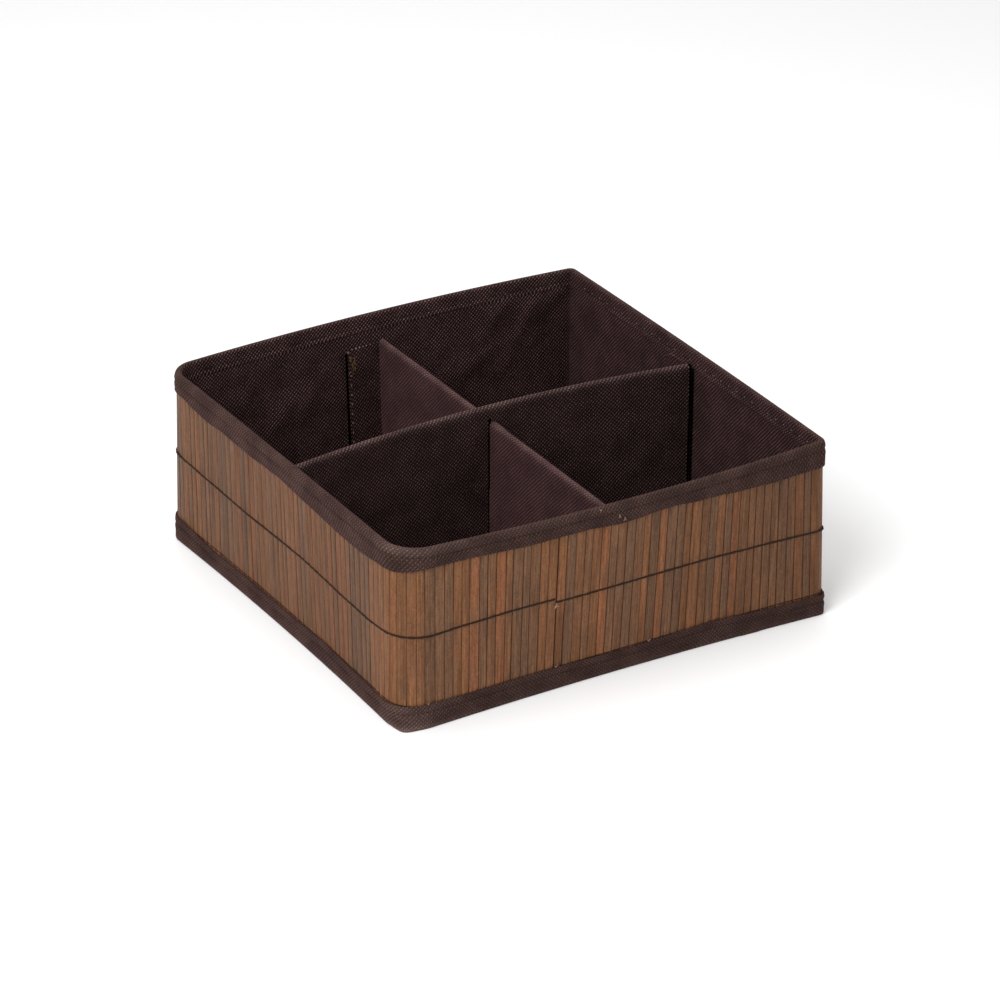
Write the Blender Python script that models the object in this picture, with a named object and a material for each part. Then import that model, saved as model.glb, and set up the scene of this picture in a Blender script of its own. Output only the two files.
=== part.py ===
"""Square drawer organizer: slatted bamboo outside, fabric lining and two crossed dividers inside.

Units are metres and +Z is up. The origin is the middle of the underside, the front wall faces -Y.
Every wall layer follows one plan, a rounded square whose soft sides bow a little.
"""

import math

import bmesh
import bpy
from mathutils import Vector

# Overall box, over the outer faces of the slats and up to the rim
BOX_WIDTH = 0.320
BOX_DEPTH = 0.320
BOX_HEIGHT = 0.1277

# Corner radii of the slats' outer face, at the foot and at the rim
FRONT_RIGHT_RADIUS_FOOT = 0.0041
FRONT_RIGHT_RADIUS_RIM = 0.0060
BACK_RIGHT_RADIUS_FOOT = 0.0060
BACK_RIGHT_RADIUS_RIM = 0.0044
BACK_LEFT_RADIUS_FOOT = 0.0117
BACK_LEFT_RADIUS_RIM = 0.0190
FRONT_LEFT_RADIUS_FOOT = 0.0209
FRONT_LEFT_RADIUS_RIM = 0.0251
TIGHTEST_RADIUS = 0.0010

# How far the foot of each corner stands out past its rim, to the right and to the back
FRONT_RIGHT_SPLAY = (0.0014, -0.0017)
BACK_RIGHT_SPLAY = (0, 0)
BACK_LEFT_SPLAY = (0.0002, 0.0016)
FRONT_LEFT_SPLAY = (-0.0006, -0.0012)

# How far the middle of each soft wall stands out of a straight line, at its foot and at its rim
FRONT_BOW_FOOT = -0.0039
FRONT_BOW_RIM = 0.0070
RIGHT_BOW_FOOT = -0.0004
RIGHT_BOW_RIM = 0.0014
BACK_BOW_FOOT = 0.0004
BACK_BOW_RIM = 0.0066
LEFT_BOW_FOOT = -0.0028
LEFT_BOW_RIM = -0.0007

# Gap between faces that touch on the real box
SEAT_GAP = 0.0003

# Layers of a wall, from the slats inwards
SLAT_THICKNESS = 0.0016
BACKING_THICKNESS = 0.0004
WALL_BOARD_THICKNESS = 0.0020
WALL_BOARD_CORNER_GAP = 0.0040
LINING_THICKNESS = 0.0006
TAPE_THICKNESS = 0.0008

# Slats and the threads that hold them
SLAT_PITCH = 0.0062
SLAT_SPLIT = 0.0005
SLAT_EDGE_ROUND = 0.0005
MAT_SEAM_FROM_MIDDLE = 0.0473
MAT_SEAM_GAP = 0.0012
THREAD_THICKNESS = 0.0006
THREAD_WIDTH = 0.0013
MIDDLE_THREAD_HEIGHT = 0.0662
MIDDLE_THREAD_STEP = 0.0028

# Binding tapes
TOP_TAPE_OUTER_LEG = 0.0150
TOP_TAPE_INNER_LEG = 0.0085
TOP_TAPE_ROUND = 0.0018
BOTTOM_TAPE_OUTER_LEG = 0.0158
BOTTOM_TAPE_UNDER_LEG = 0.0120

# Bottom panel and the loose base insert
PANEL_THICKNESS = 0.0008
BASE_PLAY = 0.0015
BASE_BOARD_THICKNESS = 0.0020
BASE_COVER_THICKNESS = 0.0005
BASE_COVER_HEM = 0.0150

# Dividers
DIVIDER_BOARD_THICKNESS = 0.0030
DIVIDER_COVER_THICKNESS = 0.0007
LONG_DIVIDER_DROP = 0.0062
LONG_DIVIDER_END_FROM_MIDDLE = -0.0040
LONG_DIVIDER_BOW = 0.0135
CROSS_DIVIDER_DROP = 0.0177
CROSS_DIVIDER_FROM_MIDDLE = 0.0050
SLOT_HEIGHT = 0.0600
SLOT_PLAY = 0.0005
FLAP_WIDTH = 0.0250
FLAP_THICKNESS = 0.0010
FLAP_PLAY = 0.0015
CUT_OVERRUN = 0.0050

# How finely the plan is drawn
SIDE_STEPS = 12
WALL_LEVELS = 6
CORNER_STEPS = (3, 3, 5, 7)
ROUND_STEPS = 3
DIVIDER_STEPS = 10
FLAP_STEPS = 3

# Colours, as linear red, green and blue
BAMBOO_COLOUR = (0.170, 0.080, 0.045)
BAMBOO_LIGHT_COLOUR = (0.200, 0.105, 0.062)
TAPE_COLOUR = (0.045, 0.028, 0.022)
LINING_COLOUR = (0.030, 0.016, 0.015)
DIVIDER_COLOUR = (0.040, 0.020, 0.020)
THREAD_COLOUR = (0.022, 0.014, 0.012)
BOARD_COLOUR = (0.360, 0.300, 0.220)

# The four sides run front, right, back, left, and each corner follows the side of its number
SIDE_NAMES = ("front", "right", "back", "left")
SIDE_NORMALS = (Vector((0, -1, 0)), Vector((1, 0, 0)), Vector((0, 1, 0)), Vector((-1, 0, 0)))
SEGMENTS = 2 * len(SIDE_NAMES)
FOOT_RADII = (
    FRONT_RIGHT_RADIUS_FOOT,
    BACK_RIGHT_RADIUS_FOOT,
    BACK_LEFT_RADIUS_FOOT,
    FRONT_LEFT_RADIUS_FOOT,
)
RIM_RADII = (
    FRONT_RIGHT_RADIUS_RIM,
    BACK_RIGHT_RADIUS_RIM,
    BACK_LEFT_RADIUS_RIM,
    FRONT_LEFT_RADIUS_RIM,
)
SPLAYS = (FRONT_RIGHT_SPLAY, BACK_RIGHT_SPLAY, BACK_LEFT_SPLAY, FRONT_LEFT_SPLAY)
FOOT_BOWS = (FRONT_BOW_FOOT, RIGHT_BOW_FOOT, BACK_BOW_FOOT, LEFT_BOW_FOOT)
RIM_BOWS = (FRONT_BOW_RIM, RIGHT_BOW_RIM, BACK_BOW_RIM, LEFT_BOW_RIM)
FRONT, RIGHT, BACK, LEFT = range(len(SIDE_NAMES))
FRONT_LEFT_CORNER = LEFT

# Offsets of the layers from the slats' outer face, positive outwards
SLAT_BACK = -SLAT_THICKNESS
BACKING_BACK = SLAT_BACK - BACKING_THICKNESS
WALL_BOARD_FACE = BACKING_BACK - SEAT_GAP
WALL_BOARD_BACK = WALL_BOARD_FACE - WALL_BOARD_THICKNESS
LINING_FACE = WALL_BOARD_BACK - SEAT_GAP
LINING_BACK = LINING_FACE - LINING_THICKNESS
TAPE_OUTER_FACE = SEAT_GAP + TAPE_THICKNESS
TAPE_INNER_FACE = LINING_BACK - SEAT_GAP - TAPE_THICKNESS

# Heights of the layers
PANEL_FOOT = TAPE_THICKNESS + SEAT_GAP
PANEL_TOP = PANEL_FOOT + PANEL_THICKNESS
WALL_FOOT = PANEL_TOP + SEAT_GAP
WALL_TOP = BOX_HEIGHT - TAPE_THICKNESS - SEAT_GAP
BASE_COVER_FOOT = PANEL_TOP + SEAT_GAP
BASE_HEM_TOP = BASE_COVER_FOOT + BASE_COVER_THICKNESS
BASE_BOARD_FOOT = BASE_HEM_TOP + SEAT_GAP
BASE_BOARD_TOP = BASE_BOARD_FOOT + BASE_BOARD_THICKNESS
BASE_COVER_UNDERSIDE = BASE_BOARD_TOP + SEAT_GAP
BASE_COVER_TOP = BASE_COVER_UNDERSIDE + BASE_COVER_THICKNESS
DIVIDER_FOOT = BASE_COVER_TOP + SEAT_GAP
LONG_DIVIDER_TOP = BOX_HEIGHT - LONG_DIVIDER_DROP
CROSS_DIVIDER_TOP = BOX_HEIGHT - CROSS_DIVIDER_DROP

# Half thicknesses of a divider, and the flaps' distance from the plan
DIVIDER_BOARD_HALF = DIVIDER_BOARD_THICKNESS / 2
DIVIDER_COVER_INNER_HALF = DIVIDER_BOARD_HALF + SEAT_GAP
DIVIDER_HALF = DIVIDER_COVER_INNER_HALF + DIVIDER_COVER_THICKNESS
FLAP_BACK = LINING_BACK - FLAP_PLAY
FLAP_FACE = FLAP_BACK - FLAP_THICKNESS
DIVIDER_END = FLAP_FACE - SEAT_GAP


def half_across(side):
    """Distance from the middle of the box to a side."""
    return BOX_DEPTH / 2 if side in (FRONT, BACK) else BOX_WIDTH / 2


def from_foot_to_rim(foot, rim, height):
    """Value at this height of something that changes evenly from the foot to the rim."""
    return foot + (rim - foot) * height / BOX_HEIGHT


def corner_radius(corner, height, offset):
    """Radius of a corner for the layer at this offset."""
    outer = from_foot_to_rim(FOOT_RADII[corner], RIM_RADII[corner], height)
    return max(outer + offset, TIGHTEST_RADIUS)


def corner_centre(corner, height, offset):
    """Centre of a corner's arc for the layer at this offset."""
    inset = offset - corner_radius(corner, height, offset)
    following = (corner + 1) % len(SIDE_NAMES)
    centre = SIDE_NORMALS[corner] * (half_across(corner) + inset)
    centre += SIDE_NORMALS[following] * (half_across(following) + inset)
    to_right, to_back = SPLAYS[corner]
    return centre + Vector((to_right, to_back, 0)) * from_foot_to_rim(1, 0, height)


def outline_point(station, corner_height, bow_height, offset):
    """Point on the plan with corners and bows of these heights.

    Even segments of the station are sides and odd ones are corners.
    """
    segment = int(station) % SEGMENTS
    share = station - int(station)
    side = segment // 2
    radius = corner_radius(side, corner_height, offset)
    centre = corner_centre(side, corner_height, offset)
    if segment % 2:
        turn = share * math.pi / 2
        following = SIDE_NORMALS[(side + 1) % len(SIDE_NAMES)]
        return centre + (SIDE_NORMALS[side] * math.cos(turn) + following * math.sin(turn)) * radius
    before = (side - 1) % len(SIDE_NAMES)
    start = corner_centre(before, corner_height, offset)
    start += SIDE_NORMALS[side] * corner_radius(before, corner_height, offset)
    end = centre + SIDE_NORMALS[side] * radius
    bow = from_foot_to_rim(FOOT_BOWS[side], RIM_BOWS[side], bow_height)
    return start.lerp(end, share) + SIDE_NORMALS[side] * 4 * share * (1 - share) * bow


def plan_point(station, height, offset):
    """Point of a wall layer."""
    point = outline_point(station, height, height, offset)
    return Vector((point.x, point.y, height))


def segment_length(segment):
    """Length of one side or corner, measured on the slats' outer face at half height."""
    side = segment // 2
    height = BOX_HEIGHT / 2
    if segment % 2:
        return corner_radius(side, height, 0) * math.pi / 2
    start = corner_centre((side - 1) % len(SIDE_NAMES), height, 0)
    end = corner_centre(side, height, 0)
    return (end - start).dot(SIDE_NORMALS[(side + 1) % len(SIDE_NAMES)])


def station_at(distance):
    """Station at a distance round the box, counted from the start of the front side."""
    station = 0
    while distance > segment_length(station % SEGMENTS):
        distance -= segment_length(station % SEGMENTS)
        station += 1
    return station + distance / segment_length(station % SEGMENTS)


def side_station(side, along, height, offset):
    """Station on a side of this layer, at a distance from its middle in the order of the stations."""
    following = SIDE_NORMALS[(side + 1) % len(SIDE_NAMES)]
    start = corner_centre((side - 1) % len(SIDE_NAMES), height, offset).dot(following)
    end = corner_centre(side, height, offset).dot(following)
    return 2 * side + (along - start) / (end - start)


def drawn_stations():
    """The stations at which a whole turn of the plan is drawn."""
    stations = []
    for segment in range(SEGMENTS):
        steps = CORNER_STEPS[segment // 2] if segment % 2 else SIDE_STEPS
        stations += [segment + step / steps for step in range(steps)]
    return stations


def stations_between(start, end):
    """The drawn stations from start to end, with both of those included."""
    turn = drawn_stations()
    turns = turn + [station + SEGMENTS for station in turn] + [station + 2 * SEGMENTS for station in turn]
    nearest = 0.02
    inner = [station for station in turns if start + nearest < station < end - nearest]
    return [start] + inner + [end]


def add_sweep(mesh, place, section, stations, path_closed=False, section_closed=True):
    """Sweep a section of (offset, height) points along the stations, and close the open ends."""
    rows = []
    for station in stations:
        rows.append([mesh.verts.new(place(station, height, offset)) for offset, height in section])
    path_steps = len(rows) if path_closed else len(rows) - 1
    section_steps = len(section) if section_closed else len(section) - 1
    faces = []
    for step in range(path_steps):
        row = rows[step]
        following = rows[(step + 1) % len(rows)]
        for point in range(section_steps):
            after = (point + 1) % len(section)
            low, high = (point, after) if section[point][1] <= section[after][1] else (after, point)
            faces.append(mesh.faces.new((row[low], row[high], following[high])))
            faces.append(mesh.faces.new((row[low], following[high], following[low])))
    if not path_closed:
        faces.append(mesh.faces.new(rows[0]))
        faces.append(mesh.faces.new(rows[-1]))
    if not section_closed:
        faces.append(mesh.faces.new([row[0] for row in rows]))
        faces.append(mesh.faces.new([row[-1] for row in rows]))
    bmesh.ops.recalc_face_normals(mesh, faces=faces)


def add_prism(mesh, outline, foot, top):
    """Stand a prism on an outline of (station, offset) points."""
    rings = []
    for height in (foot, top):
        rings.append([mesh.verts.new(plan_point(station, height, offset)) for station, offset in outline])
    lower, upper = rings
    faces = [mesh.faces.new(lower), mesh.faces.new(upper)]
    for point in range(len(outline)):
        after = (point + 1) % len(outline)
        faces.append(mesh.faces.new((lower[point], lower[after], upper[after], upper[point])))
    bmesh.ops.recalc_face_normals(mesh, faces=faces)


def make_material(name, colour, roughness):
    """Plain surface of one colour."""
    material = bpy.data.materials.new(name)
    material.use_nodes = True
    shader = material.node_tree.nodes["Principled BSDF"]
    shader.inputs["Base Color"].default_value = (*colour, 1)
    shader.inputs["Roughness"].default_value = roughness
    shader.inputs["Metallic"].default_value = 0
    return material


def make_object(name, mesh, material, carrier):
    """Turn a bmesh into a named object on its carrier."""
    data = bpy.data.meshes.new(name)
    mesh.to_mesh(data)
    mesh.free()
    data.materials.append(material)
    piece = bpy.data.objects.new(name, data)
    bpy.context.scene.collection.objects.link(piece)
    if carrier:
        piece.parent = carrier
        data.transform(carrier.matrix_world.inverted())
    return piece


def make_carrier(name, place):
    """Empty on the line along which a group of pieces lifts out."""
    carrier = bpy.data.objects.new(name, None)
    bpy.context.scene.collection.objects.link(carrier)
    carrier.location = place
    bpy.context.view_layer.update()
    return carrier


def rectangle(outer, inner, foot, top, levels=1):
    """Section of a flat layer, as (offset, height) points."""
    rise = [(foot + (top - foot) * level / levels) for level in range(levels + 1)]
    return [(outer, height) for height in rise] + [(inner, height) for height in reversed(rise)]


def arc_points(offset, height, radius, start_turns, end_turns):
    """Points of an arc in a section, from one angle to another in turns of a circle."""
    points = []
    for step in range(ROUND_STEPS + 1):
        angle = 2 * math.pi * (start_turns + (end_turns - start_turns) * step / ROUND_STEPS)
        points.append((offset + radius * math.cos(angle), height + radius * math.sin(angle)))
    return points


def cut_slot(piece, middle, half_x, half_y, foot, top):
    """Cut an upright slot through a piece with a hidden box."""
    mesh = bmesh.new()
    corners = []
    for height in (foot, top):
        for x_sign, y_sign in ((-1, -1), (1, -1), (1, 1), (-1, 1)):
            place = (middle.x + x_sign * half_x, middle.y + y_sign * half_y, height)
            corners.append(mesh.verts.new(place))
    for face in ((3, 2, 1, 0), (4, 5, 6, 7), (0, 1, 5, 4), (1, 2, 6, 5), (2, 3, 7, 6), (3, 0, 4, 7)):
        mesh.faces.new([corners[corner] for corner in face])
    cutter = make_object(piece.name + "_slot", mesh, piece.data.materials[0], None)
    cutter.hide_render = True
    cutter.display_type = "WIRE"
    cut = piece.modifiers.new("slot", "BOOLEAN")
    cut.operation = "DIFFERENCE"
    cut.object = cutter


def make_wall_boards(material):
    """Stiffening board in each wall, between the corners."""
    for side, name in enumerate(SIDE_NAMES):
        mesh = bmesh.new()
        section = rectangle(WALL_BOARD_FACE, WALL_BOARD_BACK, WALL_FOOT, WALL_TOP, WALL_LEVELS)
        trim = WALL_BOARD_CORNER_GAP / segment_length(2 * side)
        stations = stations_between(2 * side + trim, 2 * side + 1 - trim)
        add_sweep(mesh, plan_point, section, stations)
        make_object("wall_board_" + name, mesh, material, None)


def make_linings(material):
    """Lining panel on each wall, from the middle of one corner to the middle of the next."""
    for side, name in enumerate(SIDE_NAMES):
        before = (side - 1) % len(SIDE_NAMES)
        start_trim = SEAT_GAP / corner_radius(before, 0, LINING_BACK) / math.pi
        end_trim = SEAT_GAP / corner_radius(side, 0, LINING_BACK) / math.pi
        start = 2 * side - 0.5 + start_trim + SEGMENTS
        end = 2 * side + 1.5 - end_trim + SEGMENTS
        mesh = bmesh.new()
        section = rectangle(LINING_FACE, LINING_BACK, WALL_FOOT, WALL_TOP, WALL_LEVELS)
        add_sweep(mesh, plan_point, section, stations_between(start, end))
        make_object("lining_" + name, mesh, material, None)


def mat_seam_distance():
    """Distance round the box at which the two ends of the slat mat meet."""
    start = corner_centre(FRONT_LEFT_CORNER, BOX_HEIGHT / 2, 0)
    return -MAT_SEAM_FROM_MIDDLE - start.x


def mat_length():
    """Length of the slat mat round the box."""
    return sum(segment_length(segment) for segment in range(SEGMENTS)) - MAT_SEAM_GAP


def mat_ends():
    """Stations of the mat's two ends, one turn of the box apart."""
    start = mat_seam_distance() + MAT_SEAM_GAP / 2
    return station_at(start), station_at(start + mat_length())


def slat_groups():
    """Edges of every slat as distances round the box, in one list for each wall."""
    count = round(mat_length() / SLAT_PITCH)
    pitch = mat_length() / count
    groups = [[] for _ in SIDE_NAMES]
    for number in range(count):
        low = mat_seam_distance() + (MAT_SEAM_GAP + SLAT_SPLIT) / 2 + number * pitch
        high = low + pitch - SLAT_SPLIT
        side = int((station_at((low + high) / 2) + 0.5) // 2) % len(SIDE_NAMES)
        groups[side].append((low, high))
    return groups


def make_slat_mats(materials):
    """Slats glued side by side on their backing, one length of mat for each wall."""
    groups = slat_groups()
    lengths = {name: groups[side] for side, name in enumerate(SIDE_NAMES)}
    lengths["front"] = [edges for edges in groups[FRONT] if edges[0] < mat_length() / 2]
    lengths["front_near_end"] = [edges for edges in groups[FRONT] if edges[0] > mat_length() / 2]
    for name, edges in lengths.items():
        outline = []
        for low, high in edges:
            outline += [
                (station_at(low), SLAT_BACK),
                (station_at(low), -SLAT_EDGE_ROUND),
                (station_at(low + SLAT_EDGE_ROUND), 0),
                (station_at(high - SLAT_EDGE_ROUND), 0),
                (station_at(high), -SLAT_EDGE_ROUND),
                (station_at(high), SLAT_BACK),
            ]
        for low, high in reversed(edges):
            outline += [(station_at(high), BACKING_BACK), (station_at(low), BACKING_BACK)]
        mesh = bmesh.new()
        add_prism(mesh, outline, WALL_FOOT, WALL_TOP)
        make_object("slat_mat_" + name, mesh, materials[name.split("_")[0]], None)


def make_mat_threads(material):
    """Weaving threads over the slats. The middle one climbs a little from end to end of the mat."""
    start, end = mat_ends()

    def skewed(station, height, offset):
        climb = MIDDLE_THREAD_STEP * ((station - start) / (end - start) - 0.5)
        return plan_point(station, height + climb, offset)

    thread_face = SEAT_GAP + THREAD_THICKNESS
    middle_foot = MIDDLE_THREAD_HEIGHT - THREAD_WIDTH / 2
    lower_foot = BOTTOM_TAPE_OUTER_LEG + SEAT_GAP
    for name, place, foot in (
        ("mat_thread_middle", skewed, middle_foot),
        ("mat_thread_lower", plan_point, lower_foot),
    ):
        mesh = bmesh.new()
        section = rectangle(thread_face, SEAT_GAP, foot, foot + THREAD_WIDTH)
        add_sweep(mesh, place, section, stations_between(start, end))
        make_object(name, mesh, material, None)


def make_top_binding(material):
    """Tape folded over the rim, with a longer leg outside."""
    shoulder = BOX_HEIGHT - TOP_TAPE_ROUND
    section = [(TAPE_OUTER_FACE, BOX_HEIGHT - TOP_TAPE_OUTER_LEG)]
    section += arc_points(TAPE_OUTER_FACE - TOP_TAPE_ROUND, shoulder, TOP_TAPE_ROUND, 0, 0.25)
    section += arc_points(TAPE_INNER_FACE + TOP_TAPE_ROUND, shoulder, TOP_TAPE_ROUND, 0.25, 0.5)
    section += [
        (TAPE_INNER_FACE, BOX_HEIGHT - TOP_TAPE_INNER_LEG),
        (TAPE_INNER_FACE + TAPE_THICKNESS, BOX_HEIGHT - TOP_TAPE_INNER_LEG),
        (TAPE_INNER_FACE + TAPE_THICKNESS, BOX_HEIGHT - TAPE_THICKNESS),
        (SEAT_GAP, BOX_HEIGHT - TAPE_THICKNESS),
        (SEAT_GAP, BOX_HEIGHT - TOP_TAPE_OUTER_LEG),
    ]
    mesh = bmesh.new()
    add_sweep(mesh, plan_point, section, drawn_stations(), path_closed=True)
    make_object("top_binding", mesh, material, None)


def make_bottom_binding(material):
    """Tape folded round the lower edge and under the bottom panel."""
    section = [
        (TAPE_OUTER_FACE, TAPE_THICKNESS),
        (TAPE_OUTER_FACE, BOTTOM_TAPE_OUTER_LEG),
        (SEAT_GAP, BOTTOM_TAPE_OUTER_LEG),
        (SEAT_GAP, TAPE_THICKNESS),
        (-BOTTOM_TAPE_UNDER_LEG, TAPE_THICKNESS),
        (-BOTTOM_TAPE_UNDER_LEG, 0),
        (SEAT_GAP, 0),
    ]
    mesh = bmesh.new()
    add_sweep(mesh, plan_point, section, drawn_stations(), path_closed=True)
    make_object("bottom_binding", mesh, material, None)


def make_bottom_panel(material):
    """Fabric panel that closes the underside, its edge held in the bottom binding."""
    mesh = bmesh.new()
    section = [(0, PANEL_FOOT), (0, PANEL_TOP)]
    add_sweep(mesh, plan_point, section, drawn_stations(), path_closed=True, section_closed=False)
    make_object("bottom_panel", mesh, material, None)


def base_insert_point(station, height, offset):
    """Point of the loose base. It lifts out past the rim, so its corners follow the rim's."""
    point = outline_point(station, BOX_HEIGHT, 0, offset)
    return Vector((point.x, point.y, height))


def make_base_insert(cover_material, board_material):
    """Loose base: a board in a cover whose edges are turned under it."""
    carrier = make_carrier("base_insert_axis", (0, 0, BASE_COVER_FOOT))
    cover_edge = LINING_BACK - BASE_PLAY
    cover_inside = cover_edge - BASE_COVER_THICKNESS
    hem_edge = cover_edge - BASE_COVER_HEM
    board_edge = cover_inside - SEAT_GAP
    cover_section = [
        (cover_edge, BASE_COVER_TOP),
        (cover_edge, BASE_COVER_FOOT),
        (hem_edge, BASE_COVER_FOOT),
        (hem_edge, BASE_HEM_TOP),
        (cover_inside, BASE_HEM_TOP),
        (cover_inside, BASE_COVER_UNDERSIDE),
    ]
    board_section = [(board_edge, BASE_BOARD_FOOT), (board_edge, BASE_BOARD_TOP)]
    for name, section, material in (
        ("base_cover", cover_section, cover_material),
        ("base_board", board_section, board_material),
    ):
        mesh = bmesh.new()
        add_sweep(
            mesh, base_insert_point, section, drawn_stations(), path_closed=True, section_closed=False
        )
        make_object(name, mesh, material, carrier)


def cover_section(top):
    """Section of a divider's cover: fabric over both faces and the rounded top of the board."""
    shoulder = top - DIVIDER_HALF
    section = [(DIVIDER_HALF, DIVIDER_FOOT)]
    section += arc_points(0, shoulder, DIVIDER_HALF, 0, 0.5)
    section += [(-DIVIDER_HALF, DIVIDER_FOOT), (-DIVIDER_COVER_INNER_HALF, DIVIDER_FOOT)]
    section += arc_points(0, shoulder, DIVIDER_COVER_INNER_HALF, 0.5, 0)
    section += [(DIVIDER_COVER_INNER_HALF, DIVIDER_FOOT)]
    return section


def make_divider(name, place, top, carrier, materials):
    """Board and cover of one divider, along the line that place gives."""
    stations = [step / DIVIDER_STEPS for step in range(DIVIDER_STEPS + 1)]
    board_section = rectangle(DIVIDER_BOARD_HALF, -DIVIDER_BOARD_HALF, DIVIDER_FOOT, top - DIVIDER_HALF)
    pieces = []
    for suffix, section, material in (
        ("_board", board_section, materials["board"]),
        ("_cover", cover_section(top), materials["divider"]),
    ):
        mesh = bmesh.new()
        add_sweep(mesh, place, section, stations)
        pieces.append(make_object(name + suffix, mesh, material, carrier))
    return pieces


def make_flap(name, side, along, top, carrier, material):
    """Flap across a divider's end that lies along the wall, towards the next corner."""

    def on_wall(distance, height, offset):
        return plan_point(side_station(side, distance, height, FLAP_FACE), height, offset)

    width = 2 * DIVIDER_HALF + FLAP_WIDTH
    distances = [along - DIVIDER_HALF + width * step / FLAP_STEPS for step in range(FLAP_STEPS + 1)]
    mesh = bmesh.new()
    section = rectangle(FLAP_BACK, FLAP_FACE, DIVIDER_FOOT, top - DIVIDER_HALF, WALL_LEVELS)
    add_sweep(mesh, on_wall, section, distances)
    make_object(name, mesh, material, carrier)


def long_divider_point(share, height, offset):
    """Line of the long divider, from the left wall to the right one, bowed towards the back."""
    left_station = side_station(LEFT, -LONG_DIVIDER_END_FROM_MIDDLE, height, DIVIDER_END)
    right_station = side_station(RIGHT, LONG_DIVIDER_END_FROM_MIDDLE, height, DIVIDER_END)
    left = plan_point(left_station, height, DIVIDER_END)
    right = plan_point(right_station, height, DIVIDER_END)
    point = left.lerp(right, share)
    point.y += 4 * share * (1 - share) * LONG_DIVIDER_BOW + offset
    return point


def cross_divider_point(share, height, offset):
    """Line of the cross divider, straight from the back wall to the front one."""
    back_station = side_station(BACK, -CROSS_DIVIDER_FROM_MIDDLE, height, DIVIDER_END)
    front_station = side_station(FRONT, CROSS_DIVIDER_FROM_MIDDLE, height, DIVIDER_END)
    back = plan_point(back_station, height, DIVIDER_END)
    front = plan_point(front_station, height, DIVIDER_END)
    point = back.lerp(front, share)
    point.x += offset
    return point


def crossing_point():
    """Middle of the crossing, on the line of both dividers."""
    share = 0.5 + CROSS_DIVIDER_FROM_MIDDLE / BOX_WIDTH
    line = long_divider_point(share, SLOT_HEIGHT, 0)
    return Vector((CROSS_DIVIDER_FROM_MIDDLE, line.y, DIVIDER_FOOT))


def make_dividers(materials):
    """The long divider drops over the cross one: its slot is open below, the other's above."""
    crossing = crossing_point()
    slot_half = DIVIDER_HALF + SLOT_PLAY
    through = DIVIDER_HALF + CUT_OVERRUN
    cross_carrier = make_carrier("cross_divider_axis", crossing)
    for piece in make_divider(
        "cross_divider", cross_divider_point, CROSS_DIVIDER_TOP, cross_carrier, materials
    ):
        cut_slot(piece, crossing, through, slot_half, SLOT_HEIGHT, CROSS_DIVIDER_TOP + CUT_OVERRUN)
    long_carrier = make_carrier("long_divider_axis", crossing)
    for piece in make_divider(
        "long_divider", long_divider_point, LONG_DIVIDER_TOP, long_carrier, materials
    ):
        cut_slot(piece, crossing, slot_half, through, DIVIDER_FOOT - CUT_OVERRUN, SLOT_HEIGHT + SLOT_PLAY)
    cloth = materials["divider"]
    back_along = -CROSS_DIVIDER_FROM_MIDDLE
    left_along = -LONG_DIVIDER_END_FROM_MIDDLE
    make_flap("cross_divider_back_flap", BACK, back_along, CROSS_DIVIDER_TOP, cross_carrier, cloth)
    make_flap(
        "cross_divider_front_flap", FRONT, CROSS_DIVIDER_FROM_MIDDLE, CROSS_DIVIDER_TOP, cross_carrier, cloth
    )
    make_flap(
        "long_divider_right_flap", RIGHT, LONG_DIVIDER_END_FROM_MIDDLE, LONG_DIVIDER_TOP, long_carrier, cloth
    )
    make_flap("long_divider_left_flap", LEFT, left_along, LONG_DIVIDER_TOP, long_carrier, cloth)


def build():
    """Clear the scene and make every piece."""
    for old in list(bpy.data.objects):
        bpy.data.objects.remove(old)
    bamboo = make_material("bamboo", BAMBOO_COLOUR, 0.45)
    light_bamboo = make_material("bamboo_light", BAMBOO_LIGHT_COLOUR, 0.45)
    tape = make_material("binding_tape", TAPE_COLOUR, 0.9)
    lining = make_material("lining_cloth", LINING_COLOUR, 0.9)
    thread = make_material("thread", THREAD_COLOUR, 0.8)
    board = make_material("board", BOARD_COLOUR, 0.85)
    divider = make_material("divider_cloth", DIVIDER_COLOUR, 0.9)
    make_wall_boards(board)
    make_linings(lining)
    make_slat_mats({"front": bamboo, "right": bamboo, "back": light_bamboo, "left": light_bamboo})
    make_mat_threads(thread)
    make_top_binding(tape)
    make_bottom_panel(lining)
    make_bottom_binding(tape)
    make_base_insert(lining, board)
    make_dividers({"board": board, "divider": divider})


build()
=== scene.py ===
"""Drawer organizer: a box of bamboo slats with a cloth lining, a loose base and two crossed dividers.

Sizes are in metres, +Z is up and the front wall faces -Y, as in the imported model.
"""

import math
import random

import bmesh
import bpy
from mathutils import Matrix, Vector, noise
from numpy import interp


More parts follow.
